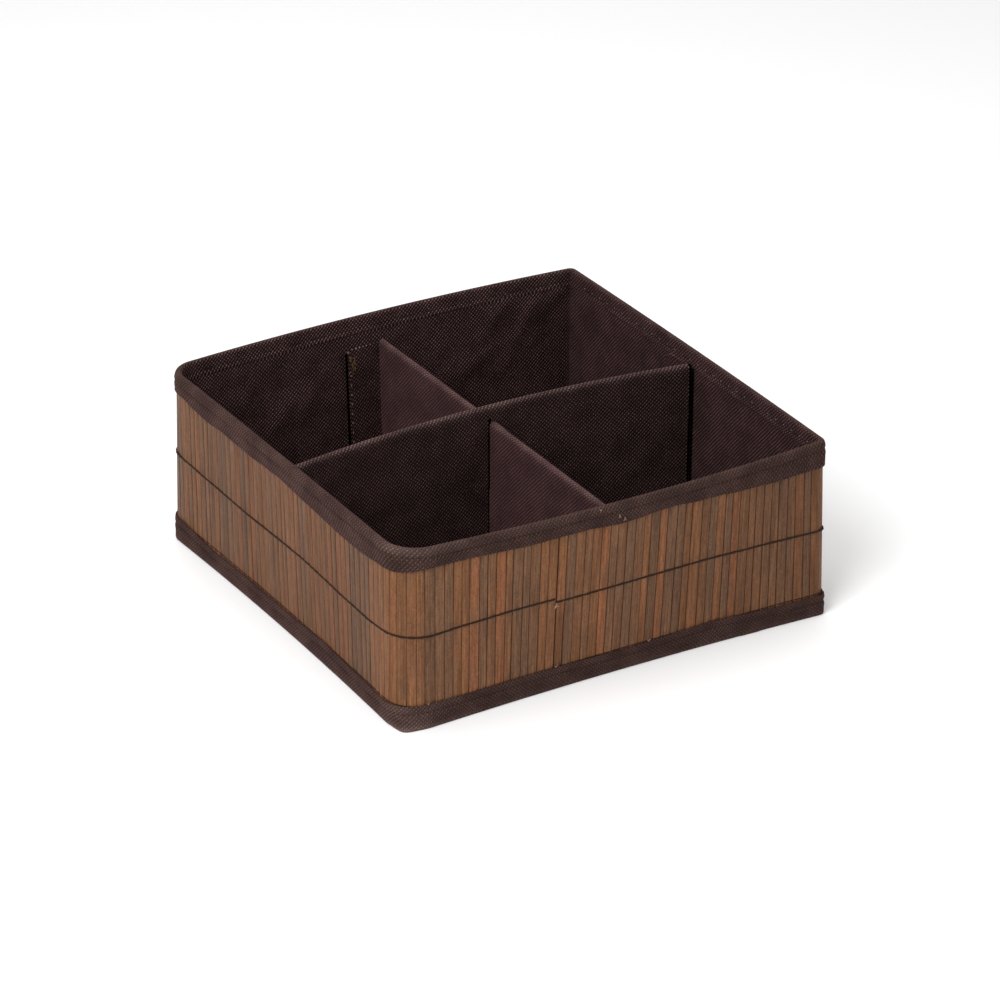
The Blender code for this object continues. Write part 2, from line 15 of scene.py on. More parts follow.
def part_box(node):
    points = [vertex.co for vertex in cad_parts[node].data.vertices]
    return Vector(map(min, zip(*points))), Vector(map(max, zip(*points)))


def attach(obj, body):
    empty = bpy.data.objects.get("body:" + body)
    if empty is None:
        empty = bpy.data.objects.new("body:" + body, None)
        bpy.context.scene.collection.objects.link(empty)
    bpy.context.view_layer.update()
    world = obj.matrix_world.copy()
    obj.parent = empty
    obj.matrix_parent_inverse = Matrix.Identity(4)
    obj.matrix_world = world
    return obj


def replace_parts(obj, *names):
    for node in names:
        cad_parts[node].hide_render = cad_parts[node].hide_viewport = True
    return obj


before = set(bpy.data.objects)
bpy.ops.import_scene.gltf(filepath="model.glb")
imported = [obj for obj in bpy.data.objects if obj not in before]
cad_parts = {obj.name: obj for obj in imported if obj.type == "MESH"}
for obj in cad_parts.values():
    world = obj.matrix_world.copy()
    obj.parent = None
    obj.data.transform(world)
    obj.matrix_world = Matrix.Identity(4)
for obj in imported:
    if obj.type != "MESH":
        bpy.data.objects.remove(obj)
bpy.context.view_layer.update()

# Wall boards
# Four sheets of grey pasteboard, one in each wall, cut to the wall and slipped in between the slat
# mat and the lining. They keep the walls upright and are closed in once the bindings are sewn on.
BOX_SIDE = 0.320
BOX_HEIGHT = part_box("top_binding")[1].z
SIDES = ("front", "right", "back", "left")
OUTWARD = (Vector((0, -1, 0)), Vector((1, 0, 0)), Vector((0, 1, 0)), Vector((-1, 0, 0)))
FRONT, RIGHT, BACK, LEFT = range(len(SIDES))
SEGMENTS = 2 * len(SIDES)
FOOT_ROUNDS = (0.0041, 0.0060, 0.0117, 0.0209)
RIM_ROUNDS = (0.0060, 0.0044, 0.0190, 0.0251)
TIGHTEST_ROUND = 0.0010
FOOT_SPLAYS = ((0.0014, -0.0017), (0, 0), (0.0002, 0.0016), (-0.0006, -0.0012))
FOOT_BOWS = (-0.0039, -0.0004, 0.0004, -0.0028)
RIM_BOWS = (0.0070, 0.0014, 0.0066, -0.0007)
WALL_FOOT, WALL_TOP = (corner.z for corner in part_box("wall_board_front"))
BOARD_FACE = -0.0023
BOARD_BACK = -0.0043
PRESSED_DEPTH = 0.0016
PRESSED_FROM_RIM = 0.0125
PRESSED_REACH = 0.0085
BOARD_CORNER_TRIM = 0.004
BOARD_COLUMN = 0.02
BOARD_ROW = 0.0025
PASTEBOARD_COLOUR = (0.270, 0.215, 0.160)
PASTEBOARD_DARK_SHARE = 0.7
PULP_GRAIN = (0.004, 0.004, 0.004)
PAPER_FIBRE_GRAIN = (0.0015, 0.0015, 0.0004)
PAPER_RELIEF = 0.0001
NOISE_LOW = 0.3
NOISE_HIGH = 0.7
SHARP_EDGE = math.radians(50)


def up_the_wall(foot, rim, height):
    """Value at this height of something that changes evenly from the foot to the rim."""
    return foot + (rim - foot) * height / BOX_HEIGHT


def corner_round(corner, height, offset):
    """Radius of a corner for the layer at this offset from the slats' outer face."""
    return max(up_the_wall(FOOT_ROUNDS[corner], RIM_ROUNDS[corner], height) + offset, TIGHTEST_ROUND)


def corner_centre(corner, height, offset):
    """Centre of a corner's arc for the layer at this offset."""
    reach = BOX_SIDE / 2 + offset - corner_round(corner, height, offset)
    centre = (OUTWARD[corner] + OUTWARD[(corner + 1) % len(SIDES)]) * reach
    return centre + Vector((*FOOT_SPLAYS[corner], 0)) * up_the_wall(1, 0, height)


def outline_point(station, corner_height, bow_height, offset):
    """Point of the plan. Even segments of the station are walls, odd ones are corners."""
    segment = int(station) % SEGMENTS
    share = station - int(station)
    side = segment // 2
    out = OUTWARD[side]
    centre = corner_centre(side, corner_height, offset)
    radius = corner_round(side, corner_height, offset)
    if segment % 2:
        turn = share * math.pi / 2
        arm = out * math.cos(turn) + OUTWARD[(side + 1) % len(SIDES)] * math.sin(turn)
        return centre + arm * radius
    before = (side - 1) % len(SIDES)
    start = corner_centre(before, corner_height, offset) + out * corner_round(before, corner_height, offset)
    bow = up_the_wall(FOOT_BOWS[side], RIM_BOWS[side], bow_height)
    return start.lerp(centre + out * radius, share) + out * (4 * share * (1 - share) * bow)


def wall_point(station, height, offset):
    """Point of a wall layer."""
    point = outline_point(station, height, height, offset)
    return Vector((point.x, point.y, height))


def segment_length(segment):
    """Length of one wall or corner along the slats' outer face, at half height."""
    side = segment // 2
    height = BOX_HEIGHT / 2
    if segment % 2:
        return corner_round(side, height, 0) * math.pi / 2
    run = corner_centre(side, height, 0) - corner_centre((side - 1) % len(SIDES), height, 0)
    return run.dot(OUTWARD[(side + 1) % len(SIDES)])


LENGTHS = [segment_length(segment) for segment in range(SEGMENTS)]


def evenly(start, end, step):
    """Numbers from start to end, about a step apart, with both of those included."""
    count = max(1, round(abs(end - start) / step))
    return [start + (end - start) * number / count for number in range(count + 1)]


def start_material(name, roughness, gloss=0.2):
    """Material with its own tree, and the shader of its surface."""
    material = bpy.data.materials.new(name)
    material.use_nodes = True
    shader = material.node_tree.nodes["Principled BSDF"]
    shader.inputs["Roughness"].default_value = roughness
    shader.inputs["Specular IOR Level"].default_value = gloss
    return material, material.node_tree, shader


def feed(tree, socket, value):
    """Give a socket a plain value, or link another node's output to it."""
    if isinstance(value, bpy.types.NodeSocket):
        tree.links.new(value, socket)
    else:
        socket.default_value = value


def spread(tree, value, low, high, bottom=0.0, top=1.0):
    """Stretch the band from low to high softly over bottom to top, and clamp it there."""
    node = tree.nodes.new("ShaderNodeMapRange")
    node.interpolation_type = "SMOOTHSTEP"
    for socket, number in zip(node.inputs, (value, low, high, bottom, top)):
        feed(tree, socket, number)
    return node.outputs[0]


def vary(tree, grain, low, high):
    """Stretch the middle band of a noise softly over low to high."""
    return spread(tree, grain, NOISE_LOW, NOISE_HIGH, low, high)


def blend_colours(tree, share, first, second):
    """Colour between two, each a linear red, green and blue or a socket."""
    node = tree.nodes.new("ShaderNodeMix")
    node.data_type = "RGBA"
    feed(tree, node.inputs["Factor"], share)
    for name, colour in (("A", first), ("B", second)):
        socket = next(s for s in node.inputs if s.name == name and s.type == "RGBA")
        feed(tree, socket, colour if isinstance(colour, bpy.types.NodeSocket) else (*colour, 1))
    return next(s for s in node.outputs if s.type == "RGBA")


def scaled(colour, share):
    """Plain colour made lighter or darker by a share."""
    return tuple(share * part for part in colour)


def stretched_noise(tree, place, stretch, detail=2.0, roughness=0.5):
    """Noise whose grain has a size of its own along each way of the place."""
    scale = tree.nodes.new("ShaderNodeVectorMath")
    scale.operation = "DIVIDE"
    tree.links.new(place, scale.inputs[0])
    scale.inputs[1].default_value = stretch
    node = tree.nodes.new("ShaderNodeTexNoise")
    tree.links.new(scale.outputs[0], node.inputs["Vector"])
    node.inputs["Scale"].default_value = 1
    node.inputs["Detail"].default_value = detail
    node.inputs["Roughness"].default_value = roughness
    return node.outputs[0]


def dress(tree, shader, colour, relief, depth, strength=1.0):
    """Give the shader its colour, and raise the surface by relief times depth."""
    tree.links.new(colour, shader.inputs["Base Color"])
    node = tree.nodes.new("ShaderNodeBump")
    node.inputs["Strength"].default_value = strength
    node.inputs["Distance"].default_value = depth
    tree.links.new(relief, node.inputs["Height"])
    tree.links.new(node.outputs[0], shader.inputs["Normal"])


def pasteboard():
    """Grey-brown board with paper fibres in it."""
    material, tree, shader = start_material("pasteboard", roughness=0.9)
    place = tree.nodes.new("ShaderNodeTexCoord").outputs["Object"]
    pulp = stretched_noise(tree, place, PULP_GRAIN, 4)
    fibres = stretched_noise(tree, place, PAPER_FIBRE_GRAIN, 3)
    dark = scaled(PASTEBOARD_COLOUR, PASTEBOARD_DARK_SHARE)
    colour = blend_colours(tree, vary(tree, pulp, 0, 1), dark, PASTEBOARD_COLOUR)
    dress(tree, shader, colour, fibres, PAPER_RELIEF)
    return material


def pressed(height):
    """How far the sewn rim draws the inner layers outwards, for the board is pressed thin there."""
    share = min(1, max(0, (height - BOX_HEIGHT + PRESSED_FROM_RIM) / PRESSED_REACH))
    return PRESSED_DEPTH * share * share * (3 - 2 * share)


def mesh_of(name, corners, faces):
    """New mesh from its corners and faces."""
    mesh = bpy.data.meshes.new(name)
    mesh.from_pydata(corners, [], faces)
    return mesh


def keep_places(mesh, name, places, domain="POINT"):
    """Keep a place for each point, or each face corner, for the material to read."""
    layer = mesh.attributes.new(name, "FLOAT_VECTOR", domain)
    layer.data.foreach_set("vector", [part for place in places for part in place])


def cloth_mesh(name, points, along, across, closed_along=False, closed_across=False):
    """Mesh over rows of points. Each corner keeps its place on the flat piece, in metres."""
    rows, columns = len(points), len(points[0])
    faces = []
    places = []
    for row in range(rows if closed_along else rows - 1):
        for column in range(columns if closed_across else columns - 1):
            ring = ((row, column), (row + 1, column), (row + 1, column + 1), (row, column + 1))
            faces.append([a % rows * columns + b % columns for a, b in ring])
            places += [(along[a], across[b], 0) for a, b in ring]
    if closed_across and not closed_along:
        for row in (0, rows - 1):
            faces.append([row * columns + column for column in range(columns)])
            places += [(along[row], across[column], 0) for column in range(columns)]
    mesh = mesh_of(name, [point for row in points for point in row], faces)
    keep_places(mesh, "flat_place", places, "CORNER")
    turn_faces_out(mesh)
    return mesh


def turn_faces_out(mesh):
    """Make all the faces of a closed mesh look outwards."""
    shell = bmesh.new()
    shell.from_mesh(mesh)
    bmesh.ops.recalc_face_normals(shell, faces=shell.faces)
    shell.to_mesh(mesh)
    shell.free()


def add_object(name, data):
    """New object in the scene."""
    thing = bpy.data.objects.new(name, data)
    bpy.context.scene.collection.objects.link(thing)
    return thing


def make_piece(name, mesh, material, body):
    """Named piece that rides on a body, with the finish given for it."""
    mesh.materials.clear()
    mesh.materials.append(material)
    mesh.shade_smooth()
    mesh.set_sharp_from_angle(angle=SHARP_EDGE)
    piece = add_object(name, mesh)
    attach(piece, body)
    return piece


PASTEBOARD = pasteboard()
for side, side_name in enumerate(SIDES):
    trim = BOARD_CORNER_TRIM / LENGTHS[2 * side]
    board_run = evenly(2 * side + trim, 2 * side + 1 - trim, BOARD_COLUMN)
    heights = evenly(WALL_FOOT, WALL_TOP, BOARD_ROW)
    board_points = [
        [wall_point(station, height, BOARD_FACE) for height in heights]
        + [wall_point(station, height, BOARD_BACK + pressed(height)) for height in reversed(heights)]
        for station in board_run
    ]
    name = "pasteboard_" + side_name
    mesh = cloth_mesh(name, board_points, board_run, heights + heights + [0], False, True)
    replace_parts(make_piece(name, mesh, PASTEBOARD, "shell"), "wall_board_" + side_name)

# Slat mat
# About two hundred thin bamboo strips stand side by side, stained brown and glued to a dark cloth
# strip that runs round the box. Its two ends meet on the front wall, where one strip has come loose.
SLAT_THICKNESS = 0.0016
BACKING_THICKNESS = 0.0004
SLAT_PITCH = 0.0063
SLAT_SPLIT = 0.00026
SLAT_EDGE_ROUND = 0.0004
SLAT_EDGE_BEND = 0.3
SLAT_CROWN = 0.00008
SLAT_JITTER = 0.00085
SLAT_TWIST = 0.00012
SLAT_LEVELS = 10
SLAT_SHADES = (0.90, 1.08)
SLAT_SWAYS = (0, 50)
SLAT_WAVE_SIZE = (1, 0.05)
SPLIT_SHARES = (0.4, 1.7)
SPLIT_SEED = 11
SLAT_SEED = 5
PLUMB_ROUNDS = 6
SEAM_DISTANCE = 0.0900
SEAM_GAP = 0.0005
LOOSE_BELOW = 0.0640
LOOSE_REACH = 0.006
LOOSE_SINK = 0.0006
LOOSE_GAP = 0.00013
LOOSE_PAINTED_SHADE = 0.3
GIRTH = sum(LENGTHS)
MAT_LENGTH = GIRTH - SEAM_GAP
BAMBOO_BROWN = (0.174, 0.071, 0.029)
BAMBOO_GREY = (0.124, 0.062, 0.033)
BAMBOO_RED = (0.200, 0.066, 0.030)
BAMBOO_AMBER = (0.225, 0.088, 0.028)
BAMBOO_FILM = (0.150, 0.086, 0.051)
BAMBOO_FADED = (0.330, 0.240, 0.180)
BAMBOO_PORE = (0.045, 0.020, 0.012)
BROWN_FROM_TONE = 0.75
FIBRE_SHINE = (0.3, 0.8, 0.58, 0.44)
BAMBOO_RELIEF = 0.0001
THREAD_BAND = (0.3, 0.8)
BACKING_COLOUR = (0.016, 0.008, 0.006)
BACKING_PALE_SHARE = 1.9
BACKING_GRAIN = 0.0006
BACKING_RELIEF = 0.0002
BACKING_ROW = 0.02
BACKING_COLUMN = 0.004

# Noises in the stain, as size across a slat, size along it, detail and roughness
BAMBOO_GRAINS = {
    "fibres": (0.0008, 0.045, 3, 0.6), "streaks": (0.0013, 0.060, 2, 0.5), "films": (0.0028, 0.024, 3, 0.5),
    "bands": (0.0040, 0.040, 2, 0.5), "mottle": (0.0016, 0.0060, 3, 0.7), "flecks": (0.0007, 0.0016, 2, 0.5),
    "pores": (0.00045, 0.0017, 2, 0.5), "pore_patches": (0.0050, 0.030, 1, 0.5),
    "rubs": (0.0011, 0.0040, 4, 0.65),
}

# How far each of them darkens and lightens the stain
BAMBOO_SHADES = {
    "fibres": (0.74, 1.22), "bands": (0.90, 1.10), "mottle": (0.84, 1.16), "flecks": (0.86, 1.14),
}

# Stains under the shading and marks over it, as the values that a mark follows, each with the band in
# which it comes in, then its full share and its colour. The last mark is painted shade along the splits
# between slats.
BAMBOO_STAINS = (
    ((("tone", 0.82, 0.96),), 0.35, BAMBOO_RED),
    ((("streaks", 0.54, 0.72),), 0.60, BAMBOO_AMBER),
    ((("films", 0.52, 0.70),), 0.40, BAMBOO_FILM),
)
BAMBOO_MARKS = (
    ((("pores", 0.62, 0.74), ("pore_patches", 0.52, 0.62)), 0.60, BAMBOO_PORE),
    ((("rubs", 0.66, 0.76), ("films", 0.55, 0.68)), 0.50, BAMBOO_FADED),
    ((("edge", 0.86, 1.0),), 0.50, BAMBOO_PORE),
)

# How much painted shade darkens the slats round the box, by distance
PAINTED_SHADE_ROUND_BOX = (
    (0, 1.02), (0.13, 1), (0.20, 0.84), (0.29, 0.76), (0.32, 0.85), (0.60, 1), (0.94, 0.88), (1.05, 0.78),
    (1.14, 0.76), (1.20, 0.88), (1.262, 1),
)

# How far a slat's top stands along the wall from its foot, by station
SLAT_LEANS = (
    (0, 0.0012), (0.15, 0), (0.45, 0.0008), (0.8, 0.0004), (0.93, -0.0010), (1, -0.0022), (1.5, -0.0010),
    (2, 0), (6, 0), (6.1, 0.0010), (6.3, 0), (6.55, -0.0022), (6.65, -0.0036), (6.85, -0.0030),
    (7, -0.0010), (7.5, 0), (8, 0.0012),
)


def station_at(distance):
    """Station at a distance round the box, counted from the left end of the front wall."""
    station = 0
    while distance > LENGTHS[station % SEGMENTS]:
        distance -= LENGTHS[station % SEGMENTS]
        station += 1
    return station + distance / LENGTHS[station % SEGMENTS]


def read_off(table, place):
    """Value at a place in a table of (place, value) pairs, straight between its entries."""
    places, values = zip(*table)
    return float(interp(place, places, values))


def calc(tree, operation, first, second=0.0):
    """One sum on two numbers or sockets."""
    node = tree.nodes.new("ShaderNodeMath")
    node.operation = operation
    feed(tree, node.inputs[0], first)
    feed(tree, node.inputs[1], second)
    return node.outputs[0]


def times(tree, first, *others):
    """Product of numbers or sockets."""
    for other in others:
        first = calc(tree, "MULTIPLY", first, other)
    return first


def shade_colour(tree, colour, share):
    """Colour made lighter or darker by a share."""
    node = tree.nodes.new("ShaderNodeVectorMath")
    node.operation = "SCALE"
    tree.links.new(colour, node.inputs[0])
    feed(tree, node.inputs["Scale"], share)
    return node.outputs[0]


def keep_values(mesh, name, values):
    """Keep a number for each point, for the material to read."""
    mesh.attributes.new(name, "FLOAT", "POINT").data.foreach_set("value", values)


def attribute_of(tree, name, output="Fac"):
    """Value that the mesh keeps under this name."""
    node = tree.nodes.new("ShaderNodeAttribute")
    node.attribute_name = name
    return node.outputs[output]


def ripple(size, along, up, seed=0):
    """Soft random waves of this size along and up, from -1 to 1."""
    return noise.noise(Vector((along / size[0], up / size[1], seed)))


def slat_splits():
    """Distances round the box at which one slat meets the next, uneven as split bamboo is."""
    dice = random.Random(SPLIT_SEED)
    count = round(MAT_LENGTH / SLAT_PITCH)
    splits = [SEAM_DISTANCE + SEAM_GAP / 2 + MAT_LENGTH * number / count for number in range(count + 1)]
    inner = [split + dice.uniform(-SLAT_JITTER, SLAT_JITTER) for split in splits[1:-1]]
    return [splits[0], *inner, splits[-1]]


def split_line(distance):
    """Foot and top of the line between two slats, which stands nearly plumb on the leaning wall."""
    station = station_at(distance)
    middle = wall_point(station, BOX_HEIGHT / 2, 0)
    nudge = 0.001
    way = (wall_point(station + nudge, BOX_HEIGHT / 2, 0) - middle).normalized()
    lean = read_off(SLAT_LEANS, station % SEGMENTS)
    ends = []
    for height, half in ((WALL_FOOT, -0.5), (WALL_TOP, 0.5)):
        place = station
        for _ in range(PLUMB_ROUNDS):
            here = wall_point(place, height, 0)
            ahead = wall_point(place + nudge, height, 0)
            place += nudge * (middle + way * lean * half - here).dot(way) / (ahead - here).dot(way)
        ends.append(wall_point(place, height, 0))
    return ends


SLAT_SPLITS = slat_splits()
SPLIT_LINES = [split_line(distance) for distance in SLAT_SPLITS]


def slat_side(number):
    """Wall on which the middle of a slat stands."""
    return int((station_at((SLAT_SPLITS[number] + SLAT_SPLITS[number + 1]) / 2) + 0.5) // 2) % len(SIDES)


def slat_profile(width):
    """Section of a slat as (across, depth) points, with rounded edges and a slight crown."""
    soft = SLAT_EDGE_ROUND
    bend = SLAT_EDGE_BEND * soft
    edge = [(0, -SLAT_THICKNESS), (0, -soft), (bend, -bend), (soft, 0)]
    return edge + [(width / 2, SLAT_CROWN)] + [(width - across, depth) for across, depth in reversed(edge)]


def bar_faces(first, rings, size):
    """Faces of a bar that runs through rings of points, with both its ends closed."""
    faces = []
    for base in range(first, first + (rings - 1) * size, size):
        for point in range(size):
            after = (point + 1) % size
            faces.append((base + point, base + after, base + size + after, base + size + point))
    last = first + (rings - 1) * size
    faces.append([first + point for point in reversed(range(size))])
    faces.append([last + point for point in range(size)])
    return faces


def slat_mesh(name, numbers, dice):
    """One wall's slats, each with its own tone, twist and split to the next. The first is loose below."""
    corners = []
    faces = []
    places = []
    marks = {"slat_tone": [], "slat_shade": [], "slat_edge": []}
    for number in numbers:
        tone = dice.random()
        # A slat's shade is its own random tone times the painted shade round the box
        shade = dice.uniform(*SLAT_SHADES) * read_off(PAINTED_SHADE_ROUND_BOX, SLAT_SPLITS[number] % GIRTH)
        sway = dice.uniform(*SLAT_SWAYS)
        twist = dice.uniform(-SLAT_TWIST, SLAT_TWIST)
        proud = dice.uniform(-SLAT_TWIST, SLAT_TWIST)
        split = SLAT_SPLIT * dice.uniform(*SPLIT_SHARES)
        first = len(corners)
        for level in range(SLAT_LEVELS + 1):
            low, high = (foot.lerp(top, level / SLAT_LEVELS) for foot, top in SPLIT_LINES[number:number + 2])
            loose = min(1, max(0, (LOOSE_BELOW - low.z) / LOOSE_REACH)) if number == 0 else 0
            margin = split / 2 + LOOSE_GAP * loose
            width = (high - low).length - 2 * margin
            way = (high - low).normalized()
            out = Vector((way.y, -way.x, 0))
            wave = SLAT_TWIST * ripple(SLAT_WAVE_SIZE, sway, low.z)
            for across, depth in slat_profile(width):
                tilt = (twist + wave) * (2 * across / width - 1)
                rise = depth + proud - SLAT_TWIST - LOOSE_SINK * loose + tilt
                corners.append(low + way * (margin + across) + out * rise)
                places.append((SLAT_SPLITS[number] + across, low.z, sway))
                marks["slat_tone"].append(tone)
                # The loose slat's sunken foot is painted darker as shade
                marks["slat_shade"].append(shade * (1 - LOOSE_PAINTED_SHADE * loose))
                marks["slat_edge"].append(abs(2 * across / width - 1))
        faces += bar_faces(first, SLAT_LEVELS + 1, len(slat_profile(0)))
    mesh = mesh_of(name, corners, faces)
    keep_places(mesh, "slat_place", places)
    for key, values in marks.items():
        keep_values(mesh, key, values)
    return mesh


def grain_noises(tree, place, grains):
    """Noises by name, each with a size across, a size along, detail and roughness."""
    return {
        name: stretched_noise(tree, place, (across, along, 1), detail, roughness)
        for name, (across, along, detail, roughness) in grains.items()
    }


def stained_bamboo():
    """Brown stain over bamboo: every strip has its own tone, with long fibres, pores and a few rubs, and
    painted shade at the splits and round the box.
    """
    material, tree, shader = start_material("stained_bamboo", roughness=0.5, gloss=0.12)
    values = grain_noises(tree, attribute_of(tree, "slat_place", "Vector"), BAMBOO_GRAINS)
    values["tone"] = attribute_of(tree, "slat_tone")
    values["edge"] = attribute_of(tree, "slat_edge")
    amounts = {}

    def laid_over(colour, layers):
        for bands, share, layer_colour in layers:
            amount = times(tree, *[spread(tree, values[name], low, high) for name, low, high in bands])
            amounts[bands[0][0]] = amount
            colour = blend_colours(tree, times(tree, amount, share), colour, layer_colour)
        return colour

    browned = spread(tree, values["tone"], 0, BROWN_FROM_TONE)
    colour = laid_over(blend_colours(tree, browned, BAMBOO_GREY, BAMBOO_BROWN), BAMBOO_STAINS)
    shades = [vary(tree, values[name], *shade) for name, shade in BAMBOO_SHADES.items()]
    colour = shade_colour(tree, colour, times(tree, attribute_of(tree, "slat_shade"), *shades))
    colour = laid_over(colour, BAMBOO_MARKS)
    tree.links.new(spread(tree, values["fibres"], *FIBRE_SHINE), shader.inputs["Roughness"])
    relief = calc(tree, "SUBTRACT", values["fibres"], amounts["pores"])
    dress(tree, shader, colour, relief, BAMBOO_RELIEF, strength=0.6)
    return material


BAMBOO = stained_bamboo()
mat_dice = random.Random(SLAT_SEED)
for number, side_name in enumerate(SIDES):
    wall_slats = [slat for slat in range(len(SLAT_SPLITS) - 1) if slat_side(slat) == number]
    name = "slats_" + side_name
    slats = make_piece(name, slat_mesh(name, wall_slats, mat_dice), BAMBOO, "shell")
    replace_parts(slats, "slat_mat_" + side_name)
    if number == FRONT:
        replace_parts(slats, "slat_mat_front_near_end")


def backing_cloth():
    """Dull cloth of one dye with the fine unevenness of its threads."""
    material, tree, shader = start_material("backing_cloth", roughness=0.9)
    place = attribute_of(tree, "flat_place", "Vector")
    threads = stretched_noise(tree, place, (BACKING_GRAIN, BACKING_GRAIN, 1), 3, 0.7)
    pale = scaled(BACKING_COLOUR, BACKING_PALE_SHARE)
    colour = blend_colours(tree, spread(tree, threads, *THREAD_BAND), BACKING_COLOUR, pale)
    dress(tree, shader, colour, threads, BACKING_RELIEF)
    return material


def across_section(section):
    """Distances along a closed section of (offset, height) points, back to its first one."""
    across = [0.0]
    for this, following in zip(section, section[1:] + section[:1]):
        across.append(across[-1] + math.hypot(following[0] - this[0], following[1] - this[1]))
    return across


def flat_section(outer, inner, foot, top, step):
    """Section of an upright layer, as (offset, height) points from foot to top and back."""
    heights = evenly(foot, top, step)
    return [(outer, height) for height in heights] + [(inner, height) for height in reversed(heights)]


backing_section = flat_section(
    -SLAT_THICKNESS - 3 * SLAT_TWIST, -SLAT_THICKNESS - BACKING_THICKNESS, WALL_FOOT, WALL_TOP, BACKING_ROW
)
backing_run = evenly(SEAM_DISTANCE + SEAM_GAP / 4, SEAM_DISTANCE + GIRTH - SEAM_GAP / 4, BACKING_COLUMN)
backing_points = [
    [wall_point(station_at(distance), height, offset) for offset, height in backing_section]
    for distance in backing_run
]
backing = make_piece(
    "slat_backing",
    cloth_mesh("slat_backing", backing_points, backing_run, across_section(backing_section), False, True),
    backing_cloth(), "shell",
)

# Mat threads
# Dark brown cotton that holds the strips together before they are glued, one row round the middle
# and one just above the foot. It lies over every strip, and its cut ends fray where the mat ends.
SEAT_GAP = 0.0003
THREAD_RADIUS = 0.00070
LOWER_THREAD_RADIUS = 0.00030
THREAD_SINK_SHARE = 1.4
THREAD_DIP = 0.00062
THREAD_STEPS = 6
THREAD_COLOUR = (0.028, 0.012, 0.006)
FRAY_COLOUR = (0.450, 0.290, 0.220)
FRAY_RADIUS = 0.00016
UPRIGHT = 0.9
THREAD_SIDES = 7
THIN_THREAD_SIDES = 5
THREAD_LAY = 0.0011
THREAD_DARK_SHARE = 0.5
THREAD_RELIEF = 0.0001
THREAD_WAVER = 0.0002
THREAD_WAVER_SIZE = (0.02, 1)
FRAY_SIDEWAYS = (-0.6, 0.6)
FRAY_REACHES = (0.5, 1)
FRAY_STAND_OFFS = (0.2, 0.7)
FRAY_DROOP = 0.25
FRAY_BEND_BACK = 0.4
FRAY_STEPS = 4
FRAY_OFFSET = 0.0004
FRAY_LAY = 0.002
FRAY_SEED = 3

# Heights of the middle thread, by distance round the box from the mat's first strip to its last
MIDDLE_THREAD_HEIGHTS = (
    (0.090, 0.0656), (0.205, 0.0664), (0.250, 0.0648), (0.290, 0.0631), (0.620, 0.0650), (0.940, 0.0672),
    (0.975, 0.0657), (1.040, 0.0642), (1.116, 0.0658), (1.165, 0.0636), (1.205, 0.0631), (1.235, 0.0655),
    (1.262, 0.0657), (1.280, 0.0669), (1.320, 0.0683), (1.353, 0.0684),
)

# Frayed ends as distance round the box, height, number of fibres, length, and way up or down
FRAYS = (
    (0.0897, 0.0650, 6, 0.0042, -1), (0.0923, 0.0160, 5, 0.0038, 1), (0.1617, 0.0155, 3, 0.0040, 1),
    (1.2594, 0.0165, 3, 0.0040, 1),
)


def tube_mesh(name, routes, radius, sides):
    """Round thread along each route, with its ends closed. Places run along the thread and round it."""
    corners = []
    faces = []
    places = []
    for route in routes:
        faces += bar_faces(len(corners), len(route), sides)
        length = 0
        for step, point in enumerate(route):
            ahead = route[min(step + 1, len(route) - 1)] - route[max(step - 1, 0)]
            ahead.normalize()
            level = Vector((0, 0, 1)) if abs(ahead.z) < UPRIGHT else Vector((1, 0, 0))
            beside = ahead.cross(level).normalized()
            above = beside.cross(ahead)
            length += (point - route[step - 1]).length if step else 0
            for turn in range(sides):
                angle = 2 * math.pi * turn / sides
                arm = beside * (radius * math.cos(angle)) + above * (radius * math.sin(angle))
                corners.append(point + arm)
                places.append((length, radius * angle, 0))
    mesh = mesh_of(name, corners, faces)
    keep_places(mesh, "flat_place", places)
    return mesh


def parts_of(tree, place):
    """Sockets of a place's three numbers."""
    node = tree.nodes.new("ShaderNodeSeparateXYZ")
    tree.links.new(place, node.inputs[0])
    return node.outputs


def twisted_thread(name, colour, lay):
    """Dull thread whose plies wind round it once in every lay."""
    material, tree, shader = start_material(name, roughness=0.85)
    along, across, _ = parts_of(tree, attribute_of(tree, "flat_place", "Vector"))
    run = calc(tree, "ADD", along, across)
    ply = spread(tree, calc(tree, "SINE", times(tree, run, 2 * math.pi / lay)), -1, 1)
    colour = blend_colours(tree, ply, scaled(colour, THREAD_DARK_SHARE), colour)
    dress(tree, shader, colour, ply, THREAD_RELIEF)
    return material


def make_thread(name, routes, radius, material, body="shell", sides=THIN_THREAD_SIDES):
    """Piece of thread along its routes."""
    return make_piece(name, tube_mesh(name, routes, radius, sides), material, body)


def mat_thread_route(height_at, radius):
    """Middle of a thread that lies over every slat in turn and dips at every split."""
    route = []
    for low, high in zip(SLAT_SPLITS, SLAT_SPLITS[1:]):
        for step in range(THREAD_STEPS):
            share = step / THREAD_STEPS
            distance = low + share * (high - low)
            dip = THREAD_DIP * (1 - math.sin(math.pi * share)) ** 3
            offset = SEAT_GAP + radius * (1 - THREAD_SINK_SHARE) - dip
            route.append(wall_point(station_at(distance), height_at(distance), offset))
    return route


def middle_thread_height(distance):
    """Height of the middle thread, with the small unevenness of a hand-guided thread."""
    waver = THREAD_WAVER * ripple(THREAD_WAVER_SIZE, distance, 3)
    return read_off(MIDDLE_THREAD_HEIGHTS, distance) + waver


MAT_THREAD = twisted_thread("mat_thread", THREAD_COLOUR, THREAD_LAY)
lower_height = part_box("mat_thread_lower")[0].z + LOWER_THREAD_RADIUS
for name, height_at, radius in (
    ("mat_thread_middle", middle_thread_height, THREAD_RADIUS),
    ("mat_thread_lower", lambda distance: lower_height, LOWER_THREAD_RADIUS),
):
    route = mat_thread_route(height_at, radius)
    cotton = make_thread(name + "_cotton", [route], radius, MAT_THREAD, sides=THREAD_SIDES)
    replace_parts(cotton, name)


